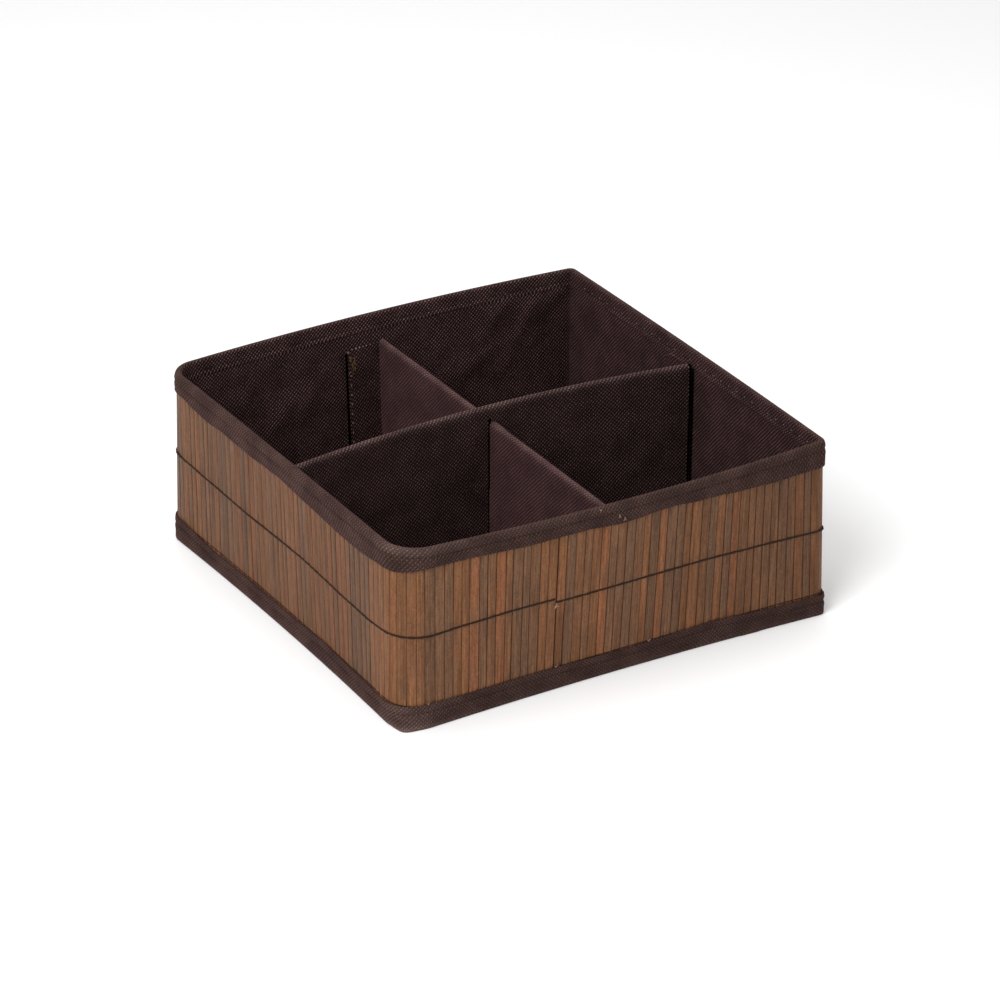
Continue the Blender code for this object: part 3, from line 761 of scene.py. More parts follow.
def fray_routes(ends, offset):
    """Fine fibres that spread from each loose end of thread."""
    dice = random.Random(FRAY_SEED)
    routes = []
    for distance, height, count, length, way in ends:
        for _ in range(count):
            sideways = dice.uniform(*FRAY_SIDEWAYS)
            reach = dice.uniform(*FRAY_REACHES) * length
            stand_off = dice.uniform(*FRAY_STAND_OFFS)
            route = []
            for step in range(FRAY_STEPS + 1):
                share = step / FRAY_STEPS
                along = sideways * reach * (share + share * share) / 2
                up = way * reach * (share - FRAY_DROOP * share * share)
                out = offset + stand_off * reach * share * (1 - FRAY_BEND_BACK * share)
                route.append(wall_point(station_at(distance + along), height + up, out))
            routes.append(route)
    return routes


frayed_thread = twisted_thread("frayed_thread", FRAY_COLOUR, FRAY_LAY)
make_thread("frayed_thread_ends", fray_routes(FRAYS, FRAY_OFFSET), FRAY_RADIUS, frayed_thread)

# Lining
# Four panels of dark brown cloth woven with fine raised dots, glued over the boards and sewn in under
# the top binding. They wrinkle where the glue lets go, most on the back wall.
LINING_FACE = -0.0046
LINING_THICKNESS = 0.0006
LINING_BACK = LINING_FACE - LINING_THICKNESS
LINING_STEP = 0.0025
LINING_GROUND = (0.0062, 0.0026, 0.0025)
LINING_DOT = (0.290, 0.176, 0.162)
# Ground and dots of a lighter copy of the lining for the left and right walls: painted light on the same
# cloth
SIDE_LIT_GROUND = (0.0120, 0.0052, 0.0055)
SIDE_DOT_SHARE = 0.42
LINING_DOT_SHARE = 0.7
LINING_SHEEN = 0.06
SHEEN_TINT = (1.0, 0.46, 0.48)
SHEEN_ROUGHNESS = 0.4
CLOTH_PALE_SHARE = 2.2
CLOTH_RELIEF = 0.00022
SLUB_RELIEF_SHARE = 0.6
# How much more the dots and pale nap show where wear and painted highlight are marked
WEAR_HIGHLIGHT_DOT_SHARE = 0.4
WEAR_HIGHLIGHT_NAP = (0.30, 0.65, 0.07, 0.24)
DOT_SPACING = 0.00205
DOT_ROW_LEAN = math.radians(46)
DOT_WOBBLE = 0.6
DOT_ROW_BAND = (-0.2, 0.9)
DOT_THREAD_BAND = (-0.4, 0.8, 0.2, 1.0)
DOT_PATCHES = (0.32, 0.62, 0.35, 1.0)
CLOTH_GRAIN_SHADES = (0.55, 1.50)
CLOTH_SHADES = (0.76, 1.24)
WRINKLE_ROOM = 0.0011
WRINKLE_RISE = 0.00025
WRINKLE_SIZE = (0.03, 0.04)
CALM_AT_FOOT = 0.012
CALM_BELOW_TOP = 0.004
CALM_AT_TOP = 0.006
LINING_HEM = 0.0030

# Noises in the cloth, as size along, size across, detail and roughness
CLOTH_GRAINS = {
    "wobble": (0.010, 0.010, 2, 0.5), "patches": (0.0014, 0.0014, 2, 0.6),
    "slubs": (0.00035, 0.00035, 2, 0.6), "grain": (0.0009, 0.0009, 2, 0.7),
    "shading": (0.018, 0.018, 3, 0.5),
}


def dotted_cloth(name, ground, dot, share, sheen):
    """Dark cloth with slanting rows of small pale dots, which come out more where the mesh marks wear and
    painted highlight.
    """
    material, tree, shader = start_material(name, roughness=0.95, gloss=0.05)
    shader.inputs["Sheen Weight"].default_value = sheen
    shader.inputs["Sheen Roughness"].default_value = SHEEN_ROUGHNESS
    shader.inputs["Sheen Tint"].default_value = (*SHEEN_TINT, 1)
    place = attribute_of(tree, "flat_place", "Vector")
    wear_and_highlight = attribute_of(tree, "wear_and_highlight")
    values = grain_noises(tree, place, CLOTH_GRAINS)
    wobble = times(tree, values["wobble"], DOT_WOBBLE)
    along, up, _ = parts_of(tree, place)

    def wave(run_share, rise_share):
        run = times(tree, along, run_share / DOT_SPACING)
        rise = times(tree, up, rise_share / DOT_SPACING)
        turns = calc(tree, "ADD", calc(tree, "ADD", run, rise), wobble)
        return calc(tree, "COSINE", times(tree, turns, 2 * math.pi))

    rows = spread(tree, wave(math.sin(DOT_ROW_LEAN), -math.cos(DOT_ROW_LEAN)), *DOT_ROW_BAND)
    threads = spread(tree, wave(math.cos(DOT_ROW_LEAN), math.sin(DOT_ROW_LEAN)), *DOT_THREAD_BAND)
    dots = times(tree, rows, threads)
    bright = times(tree, dots, spread(tree, values["patches"], *DOT_PATCHES))
    pale = spread(tree, values["slubs"], *THREAD_BAND)
    colour = blend_colours(tree, pale, ground, scaled(ground, CLOTH_PALE_SHARE))
    colour = shade_colour(tree, colour, vary(tree, values["grain"], *CLOTH_GRAIN_SHADES))
    amount = calc(tree, "MINIMUM", 1, calc(tree, "ADD", share, times(tree, wear_and_highlight, WEAR_HIGHLIGHT_DOT_SHARE)))
    colour = blend_colours(tree, times(tree, bright, amount), colour, dot)
    colour = blend_colours(tree, times(tree, wear_and_highlight, spread(tree, values["slubs"], *WEAR_HIGHLIGHT_NAP)), colour, dot)
    colour = shade_colour(tree, colour, vary(tree, values["shading"], *CLOTH_SHADES))
    relief = calc(tree, "ADD", dots, times(tree, values["slubs"], SLUB_RELIEF_SHARE))
    dress(tree, shader, colour, relief, CLOTH_RELIEF)
    return material


def bell(away, reach):
    """Share that is 1 at nought and falls softly to nothing past this reach."""
    return math.exp(-((away / reach) ** 2))


def fold_rise(place, folds):
    """How far soft folds lift the cloth at a place. A fold has two ends, a half width and a rise."""
    rise = 0
    for start_along, start_up, end_along, end_up, half_width, crest in folds:
        start = Vector((start_along, start_up))
        run = Vector((end_along, end_up)) - start
        share = min(1, max(0, (place - start).dot(run) / run.length_squared))
        rise += crest * bell((place - start - run * share).length, half_width)
    return rise


# Folds of each panel as distances from the wall's middle and heights, then half width and rise
LINING_FOLDS = (
    ((-0.10, 0.030, -0.05, 0.090, 0.010, 0.0005), (0.06, 0.020, 0.11, 0.080, 0.012, 0.0005)),
    ((-0.09, 0.035, -0.05, 0.095, 0.012, 0.0006), (0.05, 0.060, 0.10, 0.100, 0.010, 0.0005)),
    (
        (-0.144, 0.113, -0.131, 0.099, 0.0048, 0.0015), (-0.128, 0.108, -0.112, 0.086, 0.0052, 0.0016),
        (-0.106, 0.116, -0.082, 0.090, 0.0056, 0.0017), (-0.094, 0.083, -0.068, 0.066, 0.0060, 0.0015),
        (-0.060, 0.074, -0.044, 0.050, 0.0060, 0.0013), (0.044, 0.094, 0.062, 0.064, 0.0058, 0.0014),
        (0.066, 0.080, 0.086, 0.052, 0.0060, 0.0014), (0.098, 0.100, 0.112, 0.078, 0.0055, 0.0012),
    ),
    ((-0.08, 0.030, -0.03, 0.090, 0.011, 0.0006), (0.04, 0.050, 0.10, 0.100, 0.010, 0.0005)),
)
LINING_CLOTH = dotted_cloth("lining_cloth", LINING_GROUND, LINING_DOT, LINING_DOT_SHARE, LINING_SHEEN)
LIT_SIDE_LINING_CLOTH = dotted_cloth("lining_cloth_side_lit", SIDE_LIT_GROUND, LINING_DOT, SIDE_DOT_SHARE, LINING_SHEEN)


def cloth_of(side):
    """Lining cloth of a wall. The left and right ones get a lighter copy with fewer dots, painted light that
    stands in for how the light falls on them.
    """
    return LIT_SIDE_LINING_CLOTH if side in (LEFT, RIGHT) else LINING_CLOTH


def make_lining(side):
    """One panel from the middle of a corner to the middle of the next."""
    start = sum(LENGTHS[:2 * side]) - LENGTHS[2 * side - 1] / 2
    end = sum(LENGTHS[:2 * side + 1]) + LENGTHS[2 * side + 1] / 2
    top = BOX_HEIGHT - LINING_HEM
    section = flat_section(LINING_FACE, LINING_BACK, WALL_FOOT, top, LINING_STEP)

    def creased(distance, height, offset):
        along = distance - (start + end) / 2
        share = min(1, max(0, 0.5 + along / LENGTHS[2 * side]))
        bow = up_the_wall(0, RIM_BOWS[side] - FOOT_BOWS[side], height)
        room = WRINKLE_ROOM + max(0, 4 * share * (1 - share) * bow)
        rise = fold_rise(Vector((along, height)), LINING_FOLDS[side])
        rise += WRINKLE_RISE * ripple(WRINKLE_SIZE, along, height, 3 * side)
        edge = min(1, (height - WALL_FOOT) / CALM_AT_FOOT, (top - CALM_BELOW_TOP - height) / CALM_AT_TOP)
        lift = max(0, min(room, rise)) * max(0, edge)
        return wall_point(station_at(distance + GIRTH), height, offset - lift + pressed(height))

    distances = evenly(start + SEAT_GAP / 2, end - SEAT_GAP / 2, LINING_STEP)
    points = [[creased(distance, height, offset) for offset, height in section] for distance in distances]
    flat_run = [-distance for distance in distances]
    heights = [height for _, height in section] + [WALL_FOOT]
    name = "lining_panel_" + SIDES[side]
    mesh = cloth_mesh(name, points, flat_run, heights, False, True)
    panel = make_piece(name, mesh, cloth_of(side), "shell")
    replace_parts(panel, "lining_" + SIDES[side])


for number in range(len(SIDES)):
    make_lining(number)

# Bottom panel
# One piece of the lining cloth closes the underside. Its raw edge lies under the walls and is
# caught in the bottom binding.
PANEL_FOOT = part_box("bottom_panel")[0].z
PANEL_THICKNESS = 0.0008
PANEL_RINGS = 16
PANEL_STEP = 0.008
CALM_BAND = 0.020
PANEL_INSET_AT_MIDDLE = 0.004


def inward_point(place_on_wall, station, height, inset, edge):
    """Point inside the plan. Close to the edge it keeps its distance, further in it runs to the middle."""
    if inset <= CALM_BAND:
        return place_on_wall(station, height, edge - inset)
    rim = place_on_wall(station, height, edge - CALM_BAND)
    share = (inset - CALM_BAND) / (BOX_SIDE / 2 + edge - CALM_BAND)
    return Vector((rim.x * (1 - share), rim.y * (1 - share), height))


def spread_cloth(name, place_on_wall, section, edge, step):
    """Cloth over the whole plan, with a section of (inset from the edge, height) points."""
    points = []
    for distance in evenly(0, GIRTH, step)[:-1]:
        station = station_at(distance)
        row = [inward_point(place_on_wall, station, height, inset, edge) for inset, height in section]
        points.append(row)
    count = len(section)
    faces = []
    for row in range(len(points)):
        base, after = row * count, (row + 1) % len(points) * count
        for column in range(count - 1):
            faces.append((base + column, after + column, after + column + 1, base + column + 1))
    for column in (0, count - 1):
        faces.append([row * count + column for row in range(len(points))])
    mesh = mesh_of(name, [point for row in points for point in row], faces)
    turn_faces_out(mesh)
    keep_places(mesh, "flat_place", [vertex.co for vertex in mesh.vertices])
    return mesh


panel_insets = evenly(BOX_SIDE / 2 - PANEL_INSET_AT_MIDDLE, 0, BOX_SIDE / 2 / PANEL_RINGS)
panel_section = [(inset, PANEL_FOOT) for inset in panel_insets]
panel_section += [(inset, PANEL_FOOT + PANEL_THICKNESS) for inset in reversed(panel_insets)]
panel = make_piece(
    "bottom_panel_cloth", spread_cloth("bottom_panel_cloth", wall_point, panel_section, 0, PANEL_STEP),
    LINING_CLOTH, "shell",
)
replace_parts(panel, "bottom_panel")

# Bottom binding
# Tape of the same cloth, folded round the lower edge with one leg on the slats and one under the
# bottom panel. A row of lockstitch draws it in, and its ends overlap near the front right corner.
TAPE_THICKNESS = 0.0008
TAPE_FACE = SEAT_GAP + TAPE_THICKNESS
TAPE_STEP = 0.0011
TAPE_LEVELS = 20
TAPE_GROOVE_DEPTH = 0.00050
TAPE_GROOVE_HALF_WIDTH = 0.0009
TAPE_ROLL = 0.00032
TAPE_ROLL_FROM_GROOVE = 0.0027
TAPE_ROLL_HALF_WIDTH = 0.0018
TAPE_WAVE = 0.0002
TAPE_WAVE_SIZE = (0.018, 0.006)
TAPE_OVERLAP = 0.0140
TAPE_OVERLAP_RISE = 0.0004
TAPE_EDGE_ROUND = (0.0003, 0.00025)
TAPE_EDGE_WAVER = 0.0003
TAPE_EDGE_WAVER_SIZE = (0.009, 1)
STITCH_PITCH = 0.0034
STITCH_LENGTH = 0.0025
STITCH_RADIUS = 0.00024
STITCH_PROUD = 0.0001
PUCKER = 0.00012
PUCKER_REACH = 0.0024
PUCKER_SLANT = 0.35
BOTTOM_UNDER_LEG = 0.0120
BOTTOM_FOLD_HEIGHT = 0.0016
BOTTOM_FOLD = ((-0.0005, 0), (0.0004, 0.00015), (TAPE_FACE - 0.0002, 0.0007))
BOTTOM_GROOVE_DROP = 0.0052
BOTTOM_OVERLAP_START = 0.2330
TAPE_GROUND = (0.0230, 0.0121, 0.0099)
TAPE_DOT = (0.300, 0.210, 0.190)
TAPE_DOT_SHARE = 0.20
FOOT_POINT = 0.0042
FOOT_POINT_HALF_WIDTH = 0.0080
FOOT_POINT_HEIGHT = 0.0150
# The front left corner faces the light, and the tapes there get a painted highlight
CORNER_HIGHLIGHT_REACH = 0.030
CORNER_HIGHLIGHT = 0.35
FOOT_WEAR_REACH = 0.0030
FOOT_WEAR_AND_HIGHLIGHT = (0.3, 0.7)
SEWING_COLOUR = (0.022, 0.011, 0.009)
SEWING_LAY = 0.0006

# A stitch, as shares of its length from its middle, and how deep it lies in the cloth there
STITCH_ARC = ((-0.5, 0.0008), (-0.38, 0.00032), (-0.15, 0), (0.15, 0), (0.38, 0.00032), (0.5, 0.0008))

# Height of the outer leg's edge, by distance round the box
BOTTOM_LEGS = (
    (0, 0.0174), (0.024, 0.0167), (0.082, 0.0168), (0.149, 0.0150), (0.211, 0.0178), (0.259, 0.0146),
    (0.288, 0.0149), (0.450, 0.0160), (0.620, 0.0152), (0.800, 0.0164), (0.952, 0.0178), (0.990, 0.0140),
    (1.026, 0.0148), (1.089, 0.0146), (1.145, 0.0170), (1.172, 0.0156), (1.226, 0.0148), (1.262, 0.0174),
)


def tape_puff(from_groove, distance):
    """How far a sewn tape stands out beside its stitches, with a pucker at each of them."""
    groove = bell(from_groove, TAPE_GROOVE_HALF_WIDTH)
    roll = bell(abs(from_groove) - TAPE_ROLL_FROM_GROOVE, TAPE_ROLL_HALF_WIDTH)
    ruck = math.cos(2 * math.pi * (distance + from_groove * PUCKER_SLANT) / STITCH_PITCH)
    ruck *= bell(from_groove, PUCKER_REACH)
    slow = ripple(TAPE_WAVE_SIZE, distance, from_groove, 5)
    return -TAPE_GROOVE_DEPTH * groove + TAPE_ROLL * roll + PUCKER * ruck + TAPE_WAVE * slow


def edge_waver(distance, row):
    """Small unevenness of a tape's edge."""
    return TAPE_EDGE_WAVER * ripple(TAPE_EDGE_WAVER_SIZE, distance, row)


def pointed_foot(distance, height):
    """The folded tape stands out as a point at the foot of the front left corner."""
    near = bell(distance - GIRTH + LENGTHS[-1] / 2, FOOT_POINT_HALF_WIDTH)
    low = max(0, 1 - height / FOOT_POINT_HEIGHT)
    return (OUTWARD[FRONT] + OUTWARD[LEFT]).normalized() * FOOT_POINT * low * near


def mark_wear_and_highlight(mesh, wear_and_highlight_at):
    """Keep at every point of a cloth how much wear and painted highlight it has there, from 0 to 1."""
    keep_values(mesh, "wear_and_highlight", [wear_and_highlight_at(vertex.co) for vertex in mesh.vertices])


def sewn_strip(name, section_at, overlap_start, material, wear_and_highlight_at):
    """Closed band round the box. Where its two ends overlap it is thicker."""
    distances = evenly(0, GIRTH, TAPE_STEP)[:-1]
    points = []
    for distance in distances:
        doubled = TAPE_OVERLAP_RISE if overlap_start < distance < overlap_start + TAPE_OVERLAP else 0
        station = station_at(distance)
        points.append([
            wall_point(station, height, offset + (doubled if offset > SEAT_GAP else 0))
            + pointed_foot(distance, height)
            for offset, height in section_at(distance)
        ])
    across = across_section(section_at(0))
    mesh = cloth_mesh(name, points, distances + [GIRTH], across, True, True)
    mark_wear_and_highlight(mesh, wear_and_highlight_at)
    return make_piece(name, mesh, material, "shell")


def stitch_row(
    name, place, start, end, material, body, pitch=STITCH_PITCH, length=STITCH_LENGTH, radius=STITCH_RADIUS
):
    """Row of stitches along a line, each of which dives into the cloth at both ends."""
    middles = [start + (number + 0.5) * pitch for number in range(int((end - start) / pitch))]
    routes = [[place(middle + share * length, sink) for share, sink in STITCH_ARC] for middle in middles]
    return make_thread(name, routes, radius, material, body)


def outer_seam(height_at):
    """Place of stitches on a tape's outer leg, at a height by distance, sinking inwards."""
    def place(distance, sink):
        height = height_at(distance)
        offset = TAPE_FACE - TAPE_GROOVE_DEPTH + STITCH_PROUD - sink
        return wall_point(station_at(distance), height, offset) + pointed_foot(distance, height)

    return place


TAPE_CLOTH = dotted_cloth("binding_tape", TAPE_GROUND, TAPE_DOT, TAPE_DOT_SHARE, LINING_SHEEN)
SEWING_THREAD = twisted_thread("sewing_thread", SEWING_COLOUR, SEWING_LAY)


def bottom_section(distance):
    """Section of the bottom binding, up the outer leg and back under the bottom panel."""
    edge = read_off(BOTTOM_LEGS, distance) + edge_waver(distance, 1)
    section = []
    for level in range(TAPE_LEVELS + 1):
        height = BOTTOM_FOLD_HEIGHT + (edge - BOTTOM_FOLD_HEIGHT) * level / TAPE_LEVELS
        section.append((TAPE_FACE + tape_puff(height - edge + BOTTOM_GROOVE_DROP, distance), height))
    return section + [
        (TAPE_FACE - TAPE_EDGE_ROUND[0], edge + TAPE_EDGE_ROUND[1]), (SEAT_GAP, edge),
        (SEAT_GAP, TAPE_THICKNESS), (-BOTTOM_UNDER_LEG, TAPE_THICKNESS), (-BOTTOM_UNDER_LEG, 0),
        *BOTTOM_FOLD,
    ]


def near_front_left(point):
    """How close a point is to the front left corner, from 0 to 1."""
    return bell(math.hypot(point.x + BOX_SIDE / 2, point.y + BOX_SIDE / 2), CORNER_HIGHLIGHT_REACH)


def foot_wear_and_highlight(point):
    """The fold that stands on the shelf is worn, and painted highlight lightens it most at the front left
    corner, which faces the light.
    """
    near = near_front_left(point)
    fold = bell(point.z, FOOT_WEAR_REACH)
    return fold * (FOOT_WEAR_AND_HIGHLIGHT[0] + FOOT_WEAR_AND_HIGHLIGHT[1] * near) + CORNER_HIGHLIGHT * near


bottom_binding = sewn_strip(
    "bottom_binding_tape", bottom_section, BOTTOM_OVERLAP_START, TAPE_CLOTH, foot_wear_and_highlight
)
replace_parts(bottom_binding, "bottom_binding")
bottom_seam = outer_seam(lambda distance: read_off(BOTTOM_LEGS, distance) - BOTTOM_GROOVE_DROP)
stitch_row("bottom_binding_stitches", bottom_seam, 0, GIRTH, SEWING_THREAD, "shell")

# Top binding
# The same tape folded over the rim of all the wall's layers. It stands up as a full roll above its
# stitches, and its lower legs lie on the slats outside and on the lining inside.
TOP_INNER_LEG = 0.0108
TOP_GROOVE_DROP = 0.0060
INNER_GROOVE_DROP = 0.0074
INNER_STITCH_RADIUS = 0.00030
INNER_SEWING_COLOUR = (0.0030, 0.0018, 0.0016)
INNER_LEG_THICKNESS = 0.00035
TAPE_INNER_FACE = LINING_BACK - INNER_LEG_THICKNESS
RIM_ROUND = 0.0017
RIM_OUTER_FACE = 0.0008
RIM_NARROWING = 0.003
RIM_LEG_GAP = 0.0004
RIM_ROUND_STEPS = 6
RIM_WEAR_AND_HIGHLIGHT_REACH = 0.0048
RIM_WEAR_AND_HIGHLIGHT = (0.10, 0.70)
RIM_WEAR_AND_HIGHLIGHT_PATCH_SIZE = (0.012, 0.012)
RIM_WEAR_AND_HIGHLIGHT_PATCHES = (0.75, 0.5)
INNER_LEVELS = 10
INNER_PRESS = 0.0003
INNER_PUFF_SHARE = 0.5
INNER_SEAT_GAP = 0.0001
ROLL_INSET = 0.0006
ROLL_RISE = 0.0004
INNER_SIDE_START = TAPE_LEVELS + RIM_ROUND_STEPS + 2
INNER_SIDE_COLUMNS = RIM_ROUND_STEPS + INNER_LEVELS - 1
TOP_OVERLAP_START = 0.2470
PALE_STITCH_RISE = 0.0006
PALE_STITCH_PITCH = 0.0097
PALE_STITCH_LENGTH = 0.0016
PALE_ROW_INSET = 0.006
PALE_THREAD_COLOUR = (0.330, 0.220, 0.170)
PALE_LAY = 0.002
TUFT_OFFSET = TAPE_FACE + FRAY_OFFSET

# How far the outer leg's edge lies below the rim, by distance round the box
TOP_LEGS = (
    (0, 0.0134), (0.024, 0.0128), (0.053, 0.0137), (0.067, 0.0142), (0.082, 0.0137), (0.111, 0.0134),
    (0.134, 0.0153), (0.149, 0.0147), (0.164, 0.0133), (0.180, 0.0132), (0.195, 0.0148), (0.211, 0.0150),
    (0.227, 0.0164), (0.259, 0.0178), (0.288, 0.0179), (0.400, 0.0160), (0.550, 0.0146), (0.700, 0.0156),
    (0.850, 0.0142), (0.952, 0.0131), (0.964, 0.0155), (0.990, 0.0165), (1.004, 0.0152), (1.026, 0.0160),
    (1.047, 0.0160), (1.089, 0.0147), (1.117, 0.0167), (1.145, 0.0179), (1.172, 0.0194), (1.199, 0.0193),
    (1.226, 0.0166), (1.238, 0.0168), (1.250, 0.0151), (1.262, 0.0134),
)

# Loose ends of pale thread on the front of the rim, as the frayed ends of the mat threads
RIM_TUFTS = (
    (0.1183, 0.1255, 4, 0.0034, 1), (0.1327, 0.1199, 3, 0.0030, -1), (0.1370, 0.1169, 4, 0.0030, -1),
)


def top_section(distance):
    """Section of the top binding, up the outer leg, over the rim and down the inner leg."""
    edge = BOX_HEIGHT - read_off(TOP_LEGS, distance) + edge_waver(distance, 2)
    shoulder = BOX_HEIGHT - RIM_ROUND
    leg_top = shoulder - RIM_LEG_GAP
    section = []
    for level in range(TAPE_LEVELS + 1):
        height = edge + (leg_top - edge) * level / TAPE_LEVELS
        narrower = (TAPE_FACE - RIM_OUTER_FACE) * max(0, 1 - (shoulder - height) / RIM_NARROWING)
        puff = tape_puff(BOX_HEIGHT - TOP_GROOVE_DROP - height, distance)
        section.append((TAPE_FACE - narrower + puff, height))
    rim_inner_face = TAPE_INNER_FACE + pressed(shoulder)
    for middle, first in ((RIM_OUTER_FACE - RIM_ROUND, 0), (rim_inner_face + RIM_ROUND, 1)):
        for step in range(1 - first, RIM_ROUND_STEPS + 1 - first):
            angle = math.pi / 2 * (first + step / RIM_ROUND_STEPS)
            section.append((middle + RIM_ROUND * math.cos(angle), shoulder + RIM_ROUND * math.sin(angle)))
    behind = []
    for level in range(INNER_LEVELS + 1):
        height = leg_top + (BOX_HEIGHT - TOP_INNER_LEG - leg_top) * level / INNER_LEVELS
        puff = tape_puff(BOX_HEIGHT - INNER_GROOVE_DROP - height, distance)
        face = TAPE_INNER_FACE + pressed(height) - INNER_PUFF_SHARE * max(-INNER_PRESS, puff)
        section.append((face, height))
        behind.append((LINING_BACK + INNER_SEAT_GAP + pressed(height), height))
    return section + behind[::-1] + [
        (behind[0][0] + ROLL_INSET, WALL_TOP + ROLL_RISE), (SEAT_GAP - ROLL_INSET, WALL_TOP + ROLL_RISE),
        (SEAT_GAP, shoulder), (SEAT_GAP, edge),
    ]


def inner_seam(drop, proud):
    """Place of stitches on the rim's inner leg, sinking outwards, at a drop from the rim."""
    height = BOX_HEIGHT - drop
    face = TAPE_INNER_FACE + pressed(height) - proud
    return lambda distance, sink: wall_point(station_at(distance), height, face + sink)


def rim_wear_and_highlight(point):
    """The rim's fold is worn and painted with a highlight all along, most at the front left corner, which
    faces the light.
    """
    fold = bell(BOX_HEIGHT - point.z, RIM_WEAR_AND_HIGHLIGHT_REACH)
    patch = ripple(RIM_WEAR_AND_HIGHLIGHT_PATCH_SIZE, point.x, point.y)
    patchy = RIM_WEAR_AND_HIGHLIGHT_PATCHES[0] + RIM_WEAR_AND_HIGHLIGHT_PATCHES[1] * patch
    return fold * patchy * (RIM_WEAR_AND_HIGHLIGHT[0] + RIM_WEAR_AND_HIGHLIGHT[1] * near_front_left(point))


top_binding = sewn_strip("top_binding_tape", top_section, TOP_OVERLAP_START, TAPE_CLOTH, rim_wear_and_highlight)
columns = len(top_section(0))
rim_run = evenly(0, GIRTH, TAPE_STEP)
top_binding.data.materials.append(LINING_CLOTH)
top_binding.data.materials.append(LIT_SIDE_LINING_CLOTH)
for number, face in enumerate(top_binding.data.polygons):
    side = int((station_at(rim_run[number // columns]) + 0.5) // 2) % len(SIDES)
    if INNER_SIDE_START <= number % columns < INNER_SIDE_START + INNER_SIDE_COLUMNS:
        face.material_index = top_binding.data.materials.find(cloth_of(side).name)
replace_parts(top_binding, "top_binding")
top_seam = outer_seam(lambda distance: BOX_HEIGHT - TOP_GROOVE_DROP)
stitch_row("top_binding_outer_stitches", top_seam, 0, GIRTH, SEWING_THREAD, "shell")
stitch_row(
    "top_binding_inner_stitches", inner_seam(INNER_GROOVE_DROP, 0), 0, GIRTH,
    twisted_thread("inner_sewing_thread", INNER_SEWING_COLOUR, SEWING_LAY), "shell",
    radius=INNER_STITCH_RADIUS,
)
PALE_THREAD = twisted_thread("pale_thread", PALE_THREAD_COLOUR, PALE_LAY)
right_start = sum(LENGTHS[:2])
stitch_row(
    "top_binding_tacks", inner_seam(INNER_GROOVE_DROP - PALE_STITCH_RISE, STITCH_PROUD),
    right_start + PALE_ROW_INSET, right_start + LENGTHS[2] - PALE_ROW_INSET, PALE_THREAD, "shell",
    PALE_STITCH_PITCH, PALE_STITCH_LENGTH,
)
make_thread("rim_thread_ends", fray_routes(RIM_TUFTS, TUFT_OFFSET), FRAY_RADIUS, PALE_THREAD)

# Base insert
# A loose board that fills the floor of the box, in a cover of lining cloth whose edges are turned
# under it and glued. It lifts out past the rim once the dividers are out.
COVER_FOOT, COVER_TOP = (corner.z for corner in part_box("base_cover"))
COVER_THICKNESS = 0.0005
COVER_PLAY = 0.0015
COVER_EDGE = LINING_BACK - COVER_PLAY
COVER_HEM = 0.0150
COVER_ROUND = 0.0012
COVER_BEND = COVER_ROUND * 0.3
COVER_RINGS = 30
COVER_STEP = 0.006
COVER_INSET_AT_MIDDLE = 0.010


def insert_point(station, height, offset):
    """Point of the loose base, whose corners are the rim's and whose sides are the foot's."""
    point = outline_point(station, BOX_HEIGHT, 0, offset)
    return Vector((point.x, point.y, height))


cover_insets = evenly(BOX_SIDE / 2 - COVER_INSET_AT_MIDDLE, COVER_ROUND, BOX_SIDE / 2 / COVER_RINGS)
cover_section = [(inset, COVER_TOP) for inset in cover_insets]
cover_section += [
    (COVER_BEND, COVER_TOP - COVER_BEND), (0, COVER_TOP - COVER_ROUND),
    (0, COVER_FOOT + COVER_ROUND / 2), (COVER_ROUND / 2, COVER_FOOT), (COVER_HEM, COVER_FOOT),
    (COVER_HEM, COVER_FOOT + COVER_THICKNESS), (COVER_THICKNESS + SEAT_GAP, COVER_FOOT + COVER_THICKNESS),
    (COVER_THICKNESS, COVER_TOP - COVER_THICKNESS),
]
cover_section += [(inset, COVER_TOP - COVER_THICKNESS) for inset in reversed(cover_insets)]
base_cover = make_piece(
    "base_cover_cloth",
    spread_cloth("base_cover_cloth", insert_point, cover_section, COVER_EDGE, COVER_STEP),
    LINING_CLOTH, "base_insert",
)
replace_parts(base_cover, "base_cover")


def dress_board(node_name):
    """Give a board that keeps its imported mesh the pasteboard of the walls."""
    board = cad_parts[node_name].data
    board.materials.clear()
    board.materials.append(PASTEBOARD)


dress_board("base_board")

# Dividers
# Two stiff boards in a folded cover of dotted cloth, slotted into each other in the middle. The
# cover's ends go on as flaps that lie against the walls, hemmed and closed with a back-tack.
DIVIDER_FOOT, LONG_TOP = (corner.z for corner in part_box("long_divider_cover"))
CROSS_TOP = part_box("cross_divider_cover")[1].z
DIVIDER_BOARD_HALF = 0.0015
DIVIDER_CLOTH_THICKNESS = 0.0007
DIVIDER_INNER_HALF = DIVIDER_BOARD_HALF + SEAT_GAP
DIVIDER_HALF = DIVIDER_INNER_HALF + DIVIDER_CLOTH_THICKNESS
DIVIDER_STEP = 0.0030
DIVIDER_INNER_STEP = 0.03
DIVIDER_ROUND_STEPS = 10
COVER_PUFF = 0.0003
COVER_PUFF_SIZE = (0.035, 0.045)
CALM_AT_CROSSING = 0.03
FLAP_THICKNESS = 0.0010
FLAP_PLAY = 0.0015
FLAP_BACK = LINING_BACK - FLAP_PLAY
FLAP_FACE = FLAP_BACK - FLAP_THICKNESS
DIVIDER_END = FLAP_FACE - SEAT_GAP
LONG_FROM_MIDDLE = -0.0040
LONG_BOW = 0.0135
CROSS_FROM_MIDDLE = 0.0050
SLOT_HEIGHT = 0.0600
SLOT_PLAY = 0.0005
SLOT_REACH = 0.005
FLAP_WIDTH = 0.0250
FLAP_COLUMN = 0.0015
FLAP_ROW_SHARE = 0.03
FLAP_CHAMFER = 0.0030
